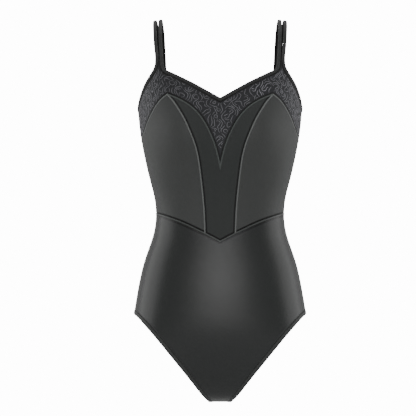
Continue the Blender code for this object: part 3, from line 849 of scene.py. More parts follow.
# Stitches: their pitch along the row, their own length, width and height
STITCH_PITCH = 0.0026
STITCH_LENGTH = 0.0019
STITCH_WIDTH = 0.00050
STITCH_HEIGHT = 0.00032
WAIST_STITCH_AT = 0.0044

BandEnd = namedtuple("BandEnd", "points across out away")
Row = namedtuple("Row", "points across normals closed")


def band_end(points, across, normals):
    """The start of a band, for a strap that goes on from it: its way across points to the side."""
    across = across[0] * math.copysign(1, across[0][0])
    away = unit(np.cross(across, normals[0]))
    away *= math.copysign(1, away @ (points[0] - points[1]))
    return BandEnd(points[:2], across, normals[0], away)


def binding_rows():
    """The middle lines of the neck, scoop and left armhole bindings."""
    rows = {}
    for edge, way in (("neck", 1), ("scoop", -1)):
        middle = moved_across(LINES[edge], way * BINDING_WIDTH / 2, to_middle=True)
        points, normals = both_halves(body(middle)), both_halves(outward(middle))
        rows[edge] = Row(points, crossings(points, normals), normals, False)
    middle = moved_across(LINES["armhole"], -BINDING_WIDTH / 2)
    points, normals = body(middle), outward(middle)
    rows["armhole"] = Row(points, crossings(points, normals), normals, False)
    return rows


def strap_row(front, rows, back):
    """A strap's middle line with its ways across and out, between the ends of two bindings."""
    knots = np.vstack([front.points[::-1], np.array(rows), back.points])
    run = lengths_along(knots)
    points = smooth_curve(run, knots)(np.linspace(run[1], run[-2], STRAP_STEPS + 1))
    share = lengths_along(points) / lengths_along(points)[-1]
    top = share[np.argmax(points[:, 2])]
    top_across = np.array([math.cos(SHOULDER_SLOPE), 0, -math.sin(SHOULDER_SLOPE)])
    guides = smooth_curve((0, top, 1), (front.across, top_across, back.across))(share)
    along = unit(np.gradient(points, axis=0))
    across = unit(guides - along * np.sum(guides * along, axis=1, keepdims=True))
    out = unit(np.cross(across, along))
    for end, here in ((front, 0), (back, -1)):
        across[here], out[here] = end.across, end.out
    return Row(points, across, out, False)


def strap_rows(rows):
    """The middle lines of the two left straps, between the ends of the bindings."""
    coarse = {k: Row(*(v[:: FINER] for v in rows[k][:3]), False) for k in rows}
    armhole = coarse["armhole"]
    back_first = (vectors[::-1] for vectors in rows["armhole"][:3])
    back_points, back_across, back_normals = back_first
    ends = {
        "neck": band_end(coarse["neck"].points, rows["neck"].across, rows["neck"].normals),
        "scoop": band_end(coarse["scoop"].points, rows["scoop"].across, rows["scoop"].normals),
        "front": band_end(armhole.points, rows["armhole"].across, rows["armhole"].normals),
        "back": band_end(back_points[::FINER], back_across, back_normals),
    }
    return {
        "strap_inner": strap_row(ends["neck"], INNER_STRAP, ends["scoop"]),
        "strap_outer": strap_row(ends["front"], OUTER_STRAP, ends["back"]),
    }


def hem_row():
    middle = moved_across(LINES["leg"], -LEG_BAND_WIDTH / 2, closed=True)
    points, normals = body(middle), outward(middle)
    return Row(points, crossings(points, normals, closed=True), normals, True)


def deselect_all():
    for item in bpy.context.selected_objects:
        item.select_set(False)


def stitch_form():
    """One stitch, modelled once: a short round thread with drawn-in ends. Its corners and faces."""
    deselect_all()
    bpy.ops.mesh.primitive_cylinder_add(
        vertices=6, radius=0.5, depth=STITCH_BODY, rotation=(0, math.pi / 2, 0)
    )
    thread = bpy.context.active_object
    bpy.ops.object.transform_apply(location=True, rotation=True, scale=True)
    bpy.ops.object.mode_set(mode="EDIT")
    for way in (1, -1):
        bpy.ops.mesh.select_all(action="DESELECT")
        shape = bmesh.from_edit_mesh(thread.data)
        for face in shape.faces:
            face.select_set(face.normal.x * way > 0.9)
        bmesh.update_edit_mesh(thread.data)
        bpy.ops.mesh.extrude_region_move(
            TRANSFORM_OT_translate={"value": (way * (1 - STITCH_BODY) / 2, 0, 0)}
        )
        bpy.ops.transform.resize(value=(1, STITCH_TIP, STITCH_TIP))
    bpy.ops.object.mode_set(mode="OBJECT")
    points = np.array([corner.co[:] for corner in thread.data.vertices])
    faces = [tuple(face.vertices) for face in thread.data.polygons]
    mesh = thread.data
    bpy.data.objects.remove(thread)
    bpy.data.meshes.remove(mesh)
    return points, faces


STITCH_BODY = 0.6
STITCH_TIP = 0.45


def stitch_shell(form, row, offset, lift):
    """A row of stitches along a line, set across it by offset and out from it by lift."""
    base, base_faces = form
    line = row.points + offset * row.across + lift * row.normals
    ways, outs = row.across, row.normals
    if row.closed:
        line, ways, outs = (np.vstack([v, v[:1]]) for v in (line, ways, outs))
    run = lengths_along(line)
    count = int(run[-1] / STITCH_PITCH)
    places = (np.arange(count) + 0.5) * run[-1] / count

    def at(values):
        return np.stack([np.interp(places, run, column) for column in values.T], axis=-1)

    middles, outs = at(line), unit(at(outs))
    along = unit(at(np.gradient(line, run, axis=0)))
    along = unit(along - outs * np.sum(along * outs, axis=1, keepdims=True))
    ways = np.cross(outs, along)
    size = base * np.array([STITCH_LENGTH, STITCH_WIDTH, STITCH_HEIGHT])
    points = (
        middles[:, None]
        + size[None, :, :1] * along[:, None]
        + size[None, :, 1:2] * ways[:, None]
        + size[None, :, 2:] * outs[:, None]
    )
    faces = [tuple(i + n * len(base) for i in face) for n in range(count) for face in base_faces]
    cloth = np.repeat(np.stack([places, np.zeros(count)], axis=-1), len(base), axis=0)
    total = count * len(base)
    return Shell(points.reshape(-1, 3), faces, plain_marks(total), cloth)


# The yoke's embossing: strokes that follow a field of scrolls, evenly apart
SCROLL_SEED = 11
SCROLL_SPACING = 0.0150
SCROLL_REACH = 0.0110
SCROLL_INFLOW = 0.30
STROKE_APART = 0.0026
STROKE_CLEAR = 0.0017
STROKE_STEP = 0.0008
STROKE_MOST_STEPS = 34
STROKE_LEAST_STEPS = 5
STROKE_HALF_WIDTH = 0.00050
STROKE_HEIGHT = 0.00034
STROKE_FOOT = 0.00010
STROKE_SIDES = 3
STROKE_MARGIN = 0.0024
STROKE_TRIES = 9000
BRIGHT_SCROLL = (0.050, 0.130, 0.0120)
Scroll = namedtuple("Scroll", "place turn reach")


def flat_yoke():
    """The outline of the whole yoke, spread flat: round the form, and down it."""
    side_top = TIP_ROWS + ARMHOLE_STEPS[1]
    half = np.vstack(
        [
            LINES["neck_in"][::-1],
            LINES["armhole_in"][: side_top + 1],
            LINES["yoke_side"],
            LINES["yoke_centre"][1:],
        ]
    )
    flat = half * np.array([CLOTH_RADIUS, 1])
    return np.vstack([flat, flat[::-1][1:-1] * np.array([-1, 1])])


def is_inside(place, outline, margin):
    """Whether a place lies within an outline and at least a margin from it."""
    x, y = place
    start, run = outline, np.roll(outline, -1, axis=0) - outline
    end = start + run
    spans = (start[:, 1] > y) != (end[:, 1] > y)
    rise = np.where(spans, run[:, 1], 1)
    cross = start[:, 0] + (y - start[:, 1]) / rise * run[:, 0]
    if np.count_nonzero(spans & (x < cross)) % 2 == 0:
        return False
    length2 = np.maximum(np.sum(run**2, axis=1), 1e-12)
    share = np.clip(np.sum((place - start) * run, axis=1) / length2, 0, 1)
    gaps = np.sum((place - start - share[:, None] * run) ** 2, axis=1)
    return gaps.min() > margin**2


def scroll_centres(outline, chance):
    """Scrolls on a staggered lattice over the yoke, each turning one way or the other."""
    low, high = outline.min(axis=0), outline.max(axis=0)
    scrolls = []
    for row, down in enumerate(np.arange(low[1], high[1], SCROLL_SPACING * 0.8)):
        shift = SCROLL_SPACING / 2 * (row % 2)
        for column, across in enumerate(np.arange(low[0] + shift, high[0], SCROLL_SPACING)):
            stray = np.array([chance.uniform(-1, 1), chance.uniform(-1, 1)]) * SCROLL_SPACING * 0.22
            turn = 1 if (row + column) % 2 else -1
            reach = SCROLL_REACH * chance.uniform(0.75, 1.2)
            scrolls.append(Scroll(np.array([across, down]) + stray, turn, reach))
    return scrolls


def scroll_flow(place, centres, turns, reaches):
    """The way that a stroke runs at a place: round the scrolls near it, and a little inwards."""
    away = place - centres
    gap = np.linalg.norm(away, axis=1) + 1e-6
    pull = np.exp(-((gap / reaches) ** 2)) * turns
    round_it = np.stack([-away[:, 1], away[:, 0]], axis=-1) / gap[:, None]
    way = (round_it * pull[:, None]).sum(axis=0)
    inwards = (-away / gap[:, None] * np.abs(pull)[:, None]).sum(axis=0)
    way = way + SCROLL_INFLOW * inwards + 1e-4
    return way / np.linalg.norm(way)


def embossing_strokes():
    """Evenly spaced strokes over the yoke, as runs of places spread flat."""
    chance = random.Random(SCROLL_SEED)
    outline = flat_yoke()
    low, high = outline.min(axis=0), outline.max(axis=0)
    scrolls = scroll_centres(outline, chance)
    centres = np.array([scroll.place for scroll in scrolls])
    turns = np.array([scroll.turn for scroll in scrolls], float)
    reaches = np.array([scroll.reach for scroll in scrolls])
    taken = np.empty((0, 2))
    strokes = []

    def is_free(place, apart):
        if not is_inside(place, outline, STROKE_MARGIN):
            return False
        return not len(taken) or np.min(np.sum((taken - place) ** 2, axis=1)) > apart**2

    for _ in range(STROKE_TRIES):
        seed = np.array([chance.uniform(low[0], high[0]), chance.uniform(low[1], high[1])])
        if not is_free(seed, STROKE_APART):
            continue
        run = [seed]
        for way in (1, -1):
            place = seed
            for _ in range(STROKE_MOST_STEPS // 2):
                flow = scroll_flow(place, centres, turns, reaches)
                place = place + way * STROKE_STEP * flow
                if not is_free(place, STROKE_CLEAR):
                    break
                run = [*run, place] if way > 0 else [place, *run]
        if len(run) > STROKE_LEAST_STEPS:
            strokes.append(np.array(run))
            taken = np.vstack([taken, run])
    return strokes


def embossing_shells():
    """The strokes raised on the yoke, each drawn out thin at both ends."""
    section = half_round(STROKE_HALF_WIDTH, STROKE_HEIGHT, STROKE_FOOT, STROKE_SIDES)
    shells = []
    for stroke in embossing_strokes():
        line = stroke / np.array([CLOTH_RADIUS, 1])
        points, normals = body(line), outward(line)
        share = np.linspace(0, 1, len(stroke))
        sizes = 0.25 + 0.75 * np.sin(math.pi * share) ** 0.6
        middle = stroke[len(stroke) // 2]
        place = np.array([middle[0], -body(line)[len(stroke) // 2][2]])
        near = np.linalg.norm(place - np.array(BRIGHT_SCROLL[:2])) / BRIGHT_SCROLL[2]
        across = crossings(points, normals)
        shells.append(
            swept(points, across, normals, section, sizes=sizes, welt=math.exp(-(near**2)))
        )
    return shells


class Tree:
    """A short way to add and link shader nodes."""

    def __init__(self, tree):
        self.tree = tree

    def node(self, kind, inputs=(), **settings):
        made = self.tree.nodes.new(kind)
        for name, value in settings.items():
            setattr(made, name, value)
        for socket, value in dict(inputs).items():
            self.feed(made.inputs[socket], value)
        return made

    def feed(self, socket, value):
        if isinstance(value, bpy.types.NodeSocket):
            self.tree.links.new(value, socket)
        else:
            socket.default_value = value

    def math(self, operation, *values, clamp=False):
        made = self.tree.nodes.new("ShaderNodeMath")
        made.operation = operation
        made.use_clamp = clamp
        for socket, value in zip(made.inputs, values):
            self.feed(socket, value)
        return made.outputs[0]

    def scaled(self, value, from_low, from_high, to_low, to_high):
        made = self.node(
            "ShaderNodeMapRange",
            {0: value, 1: from_low, 2: from_high, 3: to_low, 4: to_high},
            interpolation_type="SMOOTHSTEP",
        )
        return made.outputs[0]

    def mix(self, share, first, second, blend="MIX"):
        made = self.tree.nodes.new("ShaderNodeMix")
        made.data_type = "RGBA"
        made.blend_type = blend
        self.feed(made.inputs[0], share)
        self.feed(made.inputs[6], first)
        self.feed(made.inputs[7], second)
        return made.outputs[2]


def new_group(name, inputs, outputs):
    """An empty shader group with its sockets, and its input and output nodes."""
    group = bpy.data.node_groups.new(name, "ShaderNodeTree")
    for label, kind, value in inputs:
        socket = group.interface.new_socket(name=label, in_out="INPUT", socket_type=kind)
        if value is not None:
            socket.default_value = value
    for label, kind in outputs:
        group.interface.new_socket(name=label, in_out="OUTPUT", socket_type=kind)
    tree = Tree(group)
    return group, tree, tree.node("NodeGroupInput"), tree.node("NodeGroupOutput")


def knit_group():
    """Rows of fine knitted loops over the cloth map: their height, and a painted shade that darkens the hollows
    between them and lightens their tops.
    """
    group, tree, given, put = new_group(
        "knit loops",
        [
            ("Cloth Map", "NodeSocketVector", None),
            ("Wales per Metre", "NodeSocketFloat", 1100.0),
            ("Courses per Metre", "NodeSocketFloat", 900.0),
        ],
        [("Height", "NodeSocketFloat"), ("Lightness", "NodeSocketFloat")],
    )
    parts = tree.node("ShaderNodeSeparateXYZ", {0: given.outputs[0]})
    wale = tree.math("MULTIPLY", parts.outputs[0], given.outputs[1])
    offset = tree.math("ABSOLUTE", tree.math("SUBTRACT", tree.math("FRACT", wale), 0.5))
    course = tree.math("MULTIPLY", parts.outputs[1], given.outputs[2])
    course = tree.math("ADD", course, offset)
    ridge = tree.math("SUBTRACT", 1.0, tree.math("MULTIPLY", offset, 2.0))
    loop = tree.math("SINE", tree.math("MULTIPLY", course, 2 * math.pi))
    loop = tree.math("MULTIPLY_ADD", loop, 0.25, 0.75)
    height = tree.math("MULTIPLY", ridge, loop)
    tree.feed(put.inputs[0], height)
    tree.feed(put.inputs[1], tree.scaled(height, 0.0, 1.0, 0.82, 1.12))
    return group


def tone_group():
    """Slow uneven tone over a cloth, from 0 to 1."""
    group, tree, given, put = new_group(
        "uneven tone",
        [("Place", "NodeSocketVector", None), ("Scale", "NodeSocketFloat", 18.0)],
        [("Tone", "NodeSocketFloat")],
    )
    stretch = tree.node(
        "ShaderNodeMapping", {"Vector": given.outputs[0], "Scale": (1.0, 1.0, 0.35)}
    )
    noise = tree.node(
        "ShaderNodeTexNoise",
        {"Vector": stretch.outputs[0], "Scale": given.outputs[1], "Detail": 1.0},
    )
    spread = tree.math("MULTIPLY_ADD", noise.outputs[0], 1.6, -0.3)
    tree.feed(put.inputs[0], spread)
    return group


def seam_group():
    """How deep a place lies in the dark line along a seam, from 0 to 1."""
    group, tree, given, put = new_group(
        "seam line",
        [("Seam Distance", "NodeSocketFloat", 1.0), ("Width", "NodeSocketFloat", 0.0015)],
        [("Depth", "NodeSocketFloat")],
    )
    share = tree.math("DIVIDE", given.outputs[0], given.outputs[1])
    tree.feed(put.inputs[0], tree.scaled(share, 0.25, 1.0, 1.0, 0.0))
    return group


def attribute(tree, name):
    return tree.node("ShaderNodeAttribute", attribute_name=name).outputs["Fac"]


CLOTHS = {}


def cloth_material(
    name,
    colour,
    wales,
    courses,
    roughness,
    weave_depth,
    uneven=0.10,
    dark_line=0.55,
    sheen=0.15,
    specular=0.5,
    anisotropy=0.0,
    welt_highlight_and_scroll_lift=2.6,
):
    """A knitted cloth: loops with painted shade in their hollows, uneven tone, dark seam lines, painted shade
    beside pieces that lie on top, welts lightened by a painted highlight, and a darker turned band.
    """
    material = bpy.data.materials.new(name)
    material.use_nodes = True
    tree = Tree(material.node_tree)
    shader = material.node_tree.nodes["Principled BSDF"]
    place = tree.node("ShaderNodeTexCoord").outputs["Object"]
    cloth = tree.node("ShaderNodeUVMap", uv_map="cloth").outputs[0]
    knit = tree.node("ShaderNodeGroup", node_tree=GROUPS["knit"])
    tree.feed(knit.inputs[0], cloth)
    tree.feed(knit.inputs[1], wales)
    tree.feed(knit.inputs[2], courses)
    tone = tree.node("ShaderNodeGroup", node_tree=GROUPS["tone"])
    tree.feed(tone.inputs[0], place)
    # The seam mark draws a dark joint line along each panel's edge; the under mark paints shade beside pieces
    # that lie on top.
    lines = []
    for mark, width in (("seam", 0.0012), ("under", SHADE_WIDTH)):
        line = tree.node("ShaderNodeGroup", node_tree=GROUPS["seam"])
        tree.feed(line.inputs[0], attribute(tree, mark))
        tree.feed(line.inputs[1], width)
        lines.append(line.outputs[0])
    turned = tree.scaled(attribute(tree, "turning"), TURNING_WIDTH - 0.0004, TURNING_WIDTH, 1.0, 0.0)

    light = tree.math("MULTIPLY_ADD", tone.outputs[0], 2 * uneven, 1 - uneven)
    light = tree.math("MULTIPLY", light, knit.outputs[1])
    for line, depth in zip(lines, (dark_line, SHADE_DEPTH)):
        light = tree.math("MULTIPLY", light, tree.scaled(line, 0.0, 1.0, 1.0, 1 - depth))
    light = tree.math("MULTIPLY", light, tree.scaled(turned, 0.0, 1.0, 1.0, TURNING_SHADE))
    # Painted highlight: where the welt mark is set the colour is lifted, on the welts and on the brighter patch
    # of embossed scrolls.
    light = tree.math("MULTIPLY", light, tree.scaled(attribute(tree, "welt"), 0.0, 1.0, 1.0, welt_highlight_and_scroll_lift))
    grey = tree.node("ShaderNodeCombineXYZ", {0: light, 1: light, 2: light})
    tree.feed(shader.inputs["Base Color"], tree.mix(1.0, (*colour, 1), grey.outputs[0], "MULTIPLY"))
    rough = tree.math("MULTIPLY_ADD", tone.outputs[0], 0.04, roughness - 0.02)
    tree.feed(shader.inputs["Roughness"], rough)
    bump = tree.node(
        "ShaderNodeBump", {"Strength": 0.5, "Distance": weave_depth, "Height": knit.outputs[0]}
    )
    tree.feed(shader.inputs["Normal"], bump.outputs[0])
    shader.inputs["Sheen Weight"].default_value = sheen
    shader.inputs["Sheen Roughness"].default_value = 0.4
    shader.inputs["Specular IOR Level"].default_value = specular
    shader.inputs["Anisotropic"].default_value = anisotropy
    CLOTHS[name] = material
    return material


# TURNING_SHADE darkens the turned band below the waist seam; SHADE_WIDTH and SHADE_DEPTH set the painted shade
# beside pieces that lie on top and under the straps.
TURNING_WIDTH = 0.0072
TURNING_SHADE = 0.25
SHADE_WIDTH = 0.0042
SHADE_DEPTH = 0.93
GROUPS = {}


def make_materials(look):
    GROUPS.update(knit=knit_group(), tone=tone_group(), seam=seam_group())
    # The bodice satin and the brief satin are one cloth; the bodice's lighter colour is painted light.
    cloth_material("lit bodice satin", look.bodice_lit_colour, 1500.0, 1200.0, 0.50, 0.00006, specular=0.30, uneven=0.04)
    cloth_material("brief satin", look.brief_colour, 1500.0, 1200.0, 0.29, 0.00006, specular=0.55, uneven=0.03)
    cloth_material("matte jersey", look.matte_colour, 900.0, 750.0, 0.66, 0.00020, uneven=0.06)
    cloth_material(
        "scroll mesh", look.yoke_colour, 1000.0, 1000.0, 0.55, 0.00020, uneven=0.25, sheen=0.05
    )
    cloth_material(
        "embossed scrolls", look.scroll_colour, 1400.0, 1400.0, 0.42, 0.00010, uneven=0.30,
        sheen=0.3, welt_highlight_and_scroll_lift=2.2,
    )
    cloth_material("binding", look.binding_colour, 1100.0, 1600.0, 0.50, 0.00015, sheen=0.2)
    cloth_material("thread", look.thread_colour, 3000.0, 3000.0, 0.45, 0.00005, uneven=0.05)


class LeotardLook(bpy.types.PropertyGroup):
    """Colours that a user would change"""

    # Lighter than the brief satin, though it is the same cloth: the difference is painted light.
    bodice_lit_colour: bpy.props.FloatVectorProperty(
        name="Bodice satin", description="Colour of the bodice's satin panels", subtype="COLOR",
        size=3, min=0, max=1, default=(0.080, 0.084, 0.082),
    )
    brief_colour: bpy.props.FloatVectorProperty(
        name="Brief satin", description="Colour of the brief's satin", subtype="COLOR", size=3,
        min=0, max=1, default=(0.033, 0.036, 0.035),
    )
    matte_colour: bpy.props.FloatVectorProperty(
        name="Jersey", description="Colour of the matte centre panel", subtype="COLOR", size=3,
        min=0, max=1, default=(0.040, 0.045, 0.043),
    )
    yoke_colour: bpy.props.FloatVectorProperty(
        name="Yoke", description="Colour of the yoke's mesh", subtype="COLOR", size=3,
        min=0, max=1, default=(0.026, 0.027, 0.031),
    )
    scroll_colour: bpy.props.FloatVectorProperty(
        name="Scrolls", description="Colour of the embossed scrolls", subtype="COLOR", size=3,
        min=0, max=1, default=(0.270, 0.268, 0.292),
    )
    binding_colour: bpy.props.FloatVectorProperty(
        name="Binding", description="Colour of the bindings and straps", subtype="COLOR", size=3,
        min=0, max=1, default=(0.038, 0.040, 0.039),
    )
    thread_colour: bpy.props.FloatVectorProperty(
        name="Thread", description="Colour of the stitching", subtype="COLOR", size=3,
        min=0, max=1, default=(0.034, 0.036, 0.035),
    )


class LeotardStage(bpy.types.PropertyGroup):
    """The floor, the lights and the camera's frame"""

    floor_radius: bpy.props.FloatProperty(
        name="Floor", description="Radius of the floor", unit="LENGTH", min=1, default=30.0
    )
    floor_height: bpy.props.FloatProperty(
        name="Floor height", description="Height of the floor below the shoulders",
        unit="LENGTH", default=-0.80,
    )
    light: bpy.props.FloatProperty(
        name="Light", description="Brightness of all the lights", min=0, default=1.0
    )
    frame_width: bpy.props.FloatProperty(
        name="Frame", description="Width of the picture at the garment", unit="LENGTH",
        min=0.1, default=0.7613,
    )


# Each panel: its cloth and the solid it stands for. A cut: width, length and area
Cut = namedtuple("Cut", "width length area")


def finish_piece(piece, slot, *nodes):
    if nodes:
        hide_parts(*nodes)
    return piece


def renamed_node(name):
    """A new piece takes a solid's name with its own ending, because the solid keeps its name."""
    return f"{name}_cloth"


def make_panel(name, shells, cloth, slot):
    piece = add_object(renamed_node(name), shells, CLOTHS[cloth])
    return finish_piece(piece, slot, name)


class LEOTARD_OT_yoke(bpy.types.Operator):
    """Make the patterned front yoke and its embossed scrolls"""

    bl_idname = "leotard.make_yoke"
    bl_label = "Front yoke"

    def execute(self, context):
        patches = bodice_patches()["front_yoke"]
        under = [LINES[name] for name in ("neck_in", "armhole_in", "yoke_side", "yoke_centre")]
        make_panel("front_yoke", [panel_shell(patches, under=under)], "scroll mesh", "scroll_mesh")
        scrolls = add_object("yoke_embossing", embossing_shells(), CLOTHS["embossed scrolls"])
        finish_piece(scrolls, "scroll_mesh")
        return {"FINISHED"}


class LEOTARD_OT_bodice(bpy.types.Operator):
    """Make the centre-front panel, the side-front panels and the back bodice"""

    bl_idname = "leotard.make_bodice"
    bl_label = "Bodice panels"

    def execute(self, context):
        patches = bodice_patches()
        centre_welt = welt_shell(LINES["yoke_centre"], WELT_INSET, to_middle=True)
        under = [LINES["princess"], LINES["waist_front"]]
        centre = [panel_shell(patches["centre_front_panel"], under=under), centre_welt]
        make_panel("centre_front_panel", centre, "matte jersey", "matte")
        welts = [welt_shell(LINES["yoke_side"], WELT_INSET), welt_shell(LINES["princess"], WELT_INSET)]
        for side, word in ((1, "left"), (-1, "right")):
            under = [LINES["waist_front"]]
            shells = [panel_shell(patches["side_front_panel"], whole=False, side=side, under=under)]
            shells += [on_side(side, welt) for welt in welts]
            make_panel(f"side_front_panel_{word}", shells, "lit bodice satin", "satin")
        under = [LINES[name] for name in ("scoop_in", "armhole_in", "waist_back")]
        back = [panel_shell(patches["back_bodice"], under=under)]
        make_panel("back_bodice", back, "lit bodice satin", "satin")
        return {"FINISHED"}


class LEOTARD_OT_brief(bpy.types.Operator):
    """Make the front and back of the brief with the turned band under the waist seam"""

    bl_idname = "leotard.make_brief"
    bl_label = "Brief"

    def execute(self, context):
        patches = brief_patches()
        for name, waist, way in (
            ("brief_front", "brief_top_front", 1),
            ("brief_back", "brief_top_back", -1),
        ):
            shells = [
                panel_shell(patches[name], turning=LINES[waist]),
                welt_shell(LINES[waist], way * WELT_INSET, to_middle=True),
            ]
            make_panel(name, shells, "brief satin", "satin")
        return {"FINISHED"}


class LEOTARD_OT_bindings(bpy.types.Operator):
    """Make the bindings of the neck, the back scoop and the armholes"""

    bl_idname = "leotard.make_bindings"
    bl_label = "Bindings"

    def execute(self, context):
        rows = binding_rows()
        sizes = (BINDING_WIDTH, BINDING_WALL, BINDING_PROUD, BINDING_ROUNDING, BINDING_CROWN)
        sections = {
            way: band_section(*sizes, [way * (BINDING_WIDTH / 2 - BINDING_STITCH_AT)])
            for way in (1, -1)
        }
        for edge, name, way in (
            ("neck", "neck_binding_front", 1),
            ("scoop", "neck_binding_back", -1),
        ):
            row = rows[edge]
            make_panel(name, [swept(*row[:3], sections[way])], "binding", "binding")
        shell = swept(*rows["armhole"][:3], sections[-1])
        for side, word in ((1, "left"), (-1, "right")):
            make_panel(f"armhole_binding_{word}", [on_side(side, shell)], "binding", "binding")
        return {"FINISHED"}


class LEOTARD_OT_straps(bpy.types.Operator):
    """Make the four shoulder straps"""

    bl_idname = "leotard.make_straps"
    bl_label = "Straps"

    def execute(self, context):
        sizes = (BINDING_WIDTH, BINDING_WALL, BINDING_PROUD, BINDING_ROUNDING, BINDING_CROWN)
        section = band_section(*sizes, [BINDING_WIDTH / 2 - BINDING_STITCH_AT])
        for name, row in strap_rows(binding_rows()).items():
            way = 1 if name == "strap_inner" else -1
            turned = section * np.array([way, 1])
            shell = swept(*row[:3], turned[::way], shade_base=True)
            for side, word in ((1, "left"), (-1, "right")):
                make_panel(f"{name}_{word}", [on_side(side, shell)], "binding", "binding")
        return {"FINISHED"}


class LEOTARD_OT_hems(bpy.types.Operator):
    """Make the turned elastic hems of the leg openings"""

    bl_idname = "leotard.make_hems"
    bl_label = "Leg hems"

    def execute(self, context):
        sizes = (LEG_BAND_WIDTH, LEG_BAND_WALL, LEG_BAND_PROUD, HEM_ROUNDING, HEM_CROWN)
        section = band_section(*sizes, [-at for at in HEM_STITCH_AT])
        row = hem_row()
        shell = swept(*row[:3], section, closed=True)
        for side, word in ((1, "left"), (-1, "right")):
            make_panel(f"leg_band_{word}", [on_side(side, shell)], "lit bodice satin", "satin")
        return {"FINISHED"}


class LEOTARD_OT_allowances(bpy.types.Operator):
    """Make the seam allowances inside, behind every seam"""

    bl_idname = "leotard.make_allowances"
    bl_label = "Seam allowances"

    def execute(self, context):
        side_top = TIP_ROWS + ARMHOLE_STEPS[1]
        underarm, hip = LINES["armhole_in"][side_top], LINES["leg_in"][0]
        side_seam = straight(underarm, hip, SIDE_SEAM_STEPS)
        middle = [
            strip_shell(LINES["yoke_centre"], PANEL_SEAM_DEPTH, to_middle=True),
            strip_shell(LINES["brief_top_front"], PANEL_SEAM_DEPTH, to_middle=True),
            strip_shell(LINES["brief_top_back"], PANEL_SEAM_DEPTH, to_middle=True),
            strip_shell(LINES["neck_in"], BINDING_SEAM_DEPTH, to_middle=True),
            strip_shell(LINES["scoop_in"], BINDING_SEAM_DEPTH, to_middle=True),
        ]
        sides = [
            strip_shell(LINES["yoke_side"], PANEL_SEAM_DEPTH),
            strip_shell(LINES["princess"], PANEL_SEAM_DEPTH),
            strip_shell(side_seam, PANEL_SEAM_DEPTH),
            strip_shell(LINES["armhole_in"], BINDING_SEAM_DEPTH),
            strip_shell(LINES["leg_in"], HEM_SEAM_DEPTH, closed=True),
        ]
        shells = middle + [on_side(side, shell) for side in (1, -1) for shell in sides]
        piece = add_object("seam_allowances", shells, CLOTHS["binding"])
        finish_piece(piece, "binding")
        return {"FINISHED"}


class LEOTARD_OT_stitching(bpy.types.Operator):
    """Make the stitch rows of the bindings, the waist band and the leg hems"""

    bl_idname = "leotard.make_stitching"
    bl_label = "Stitching"

    def execute(self, context):
        form = stitch_form()
        rows = binding_rows()
        lift = BINDING_PROUD + BINDING_CROWN * 0.6 - GROOVE_DEPTH * 0.6
        at = BINDING_WIDTH / 2 - BINDING_STITCH_AT
        binding = [
            stitch_shell(form, rows["neck"], at, lift),
            stitch_shell(form, rows["scoop"], -at, lift),
        ]
        armhole = stitch_shell(form, rows["armhole"], -at, lift)
        binding += [armhole, on_side(-1, armhole)]
        for name, row in strap_rows(rows).items():
            way = 1 if name == "strap_inner" else -1
            shell = stitch_shell(form, row, way * at, lift)
            binding += [shell, on_side(-1, shell)]
        piece = add_object("binding_stitches", binding, CLOTHS["thread"])
        finish_piece(piece, "binding")

        hem = hem_row()
        hem_lift = LEG_BAND_PROUD + HEM_CROWN - GROOVE_DEPTH * 0.6
        legs = []
        for place in HEM_STITCH_AT:
            shell = stitch_shell(form, hem, -place, hem_lift)
            legs += [shell, on_side(-1, shell)]
        finish_piece(add_object("leg_hem_stitches", legs, CLOTHS["thread"]), "satin")

        waist = []
        for name, way in (("brief_top_front", 1), ("brief_top_back", -1)):
            moved = moved_across(LINES[name], way * WAIST_STITCH_AT, to_middle=True)
            points, normals = both_halves(body(moved)), both_halves(outward(moved))
            row = Row(points, crossings(points, normals), normals, False)
            waist.append(stitch_shell(form, row, 0.0, STITCH_HEIGHT * 0.2))
        finish_piece(add_object("waist_stitches", waist, CLOTHS["thread"]), "satin")
        return {"FINISHED"}


# The lights, by the way they stand from the garment: degrees round from the front, and up
Lamp = namedtuple("Lamp", "name around up away wide high power")
LAMPS = (
    Lamp("front softbox", 0, 0, 2.4, 0.80, 1.8, 11.2),
    Lamp("left softbox", 95, 3, 1.9, 2.3, 1.8, 15.0),
    Lamp("right softbox", -95, 3, 1.9, 2.3, 1.8, 15.0),
    Lamp("back softbox", 180, 10, 2.4, 1.0, 1.4, 12.0),
    Lamp("overhead", 0, 86, 1.6, 1.6, 1.6, 8.0),
)
AIM = Vector((0.0, 0.0, -0.35))
CAMERA_LENS = 400.0
SENSOR = 36.0
FRAME_MIDDLE = Vector((-0.022, 0.0, -0.345))


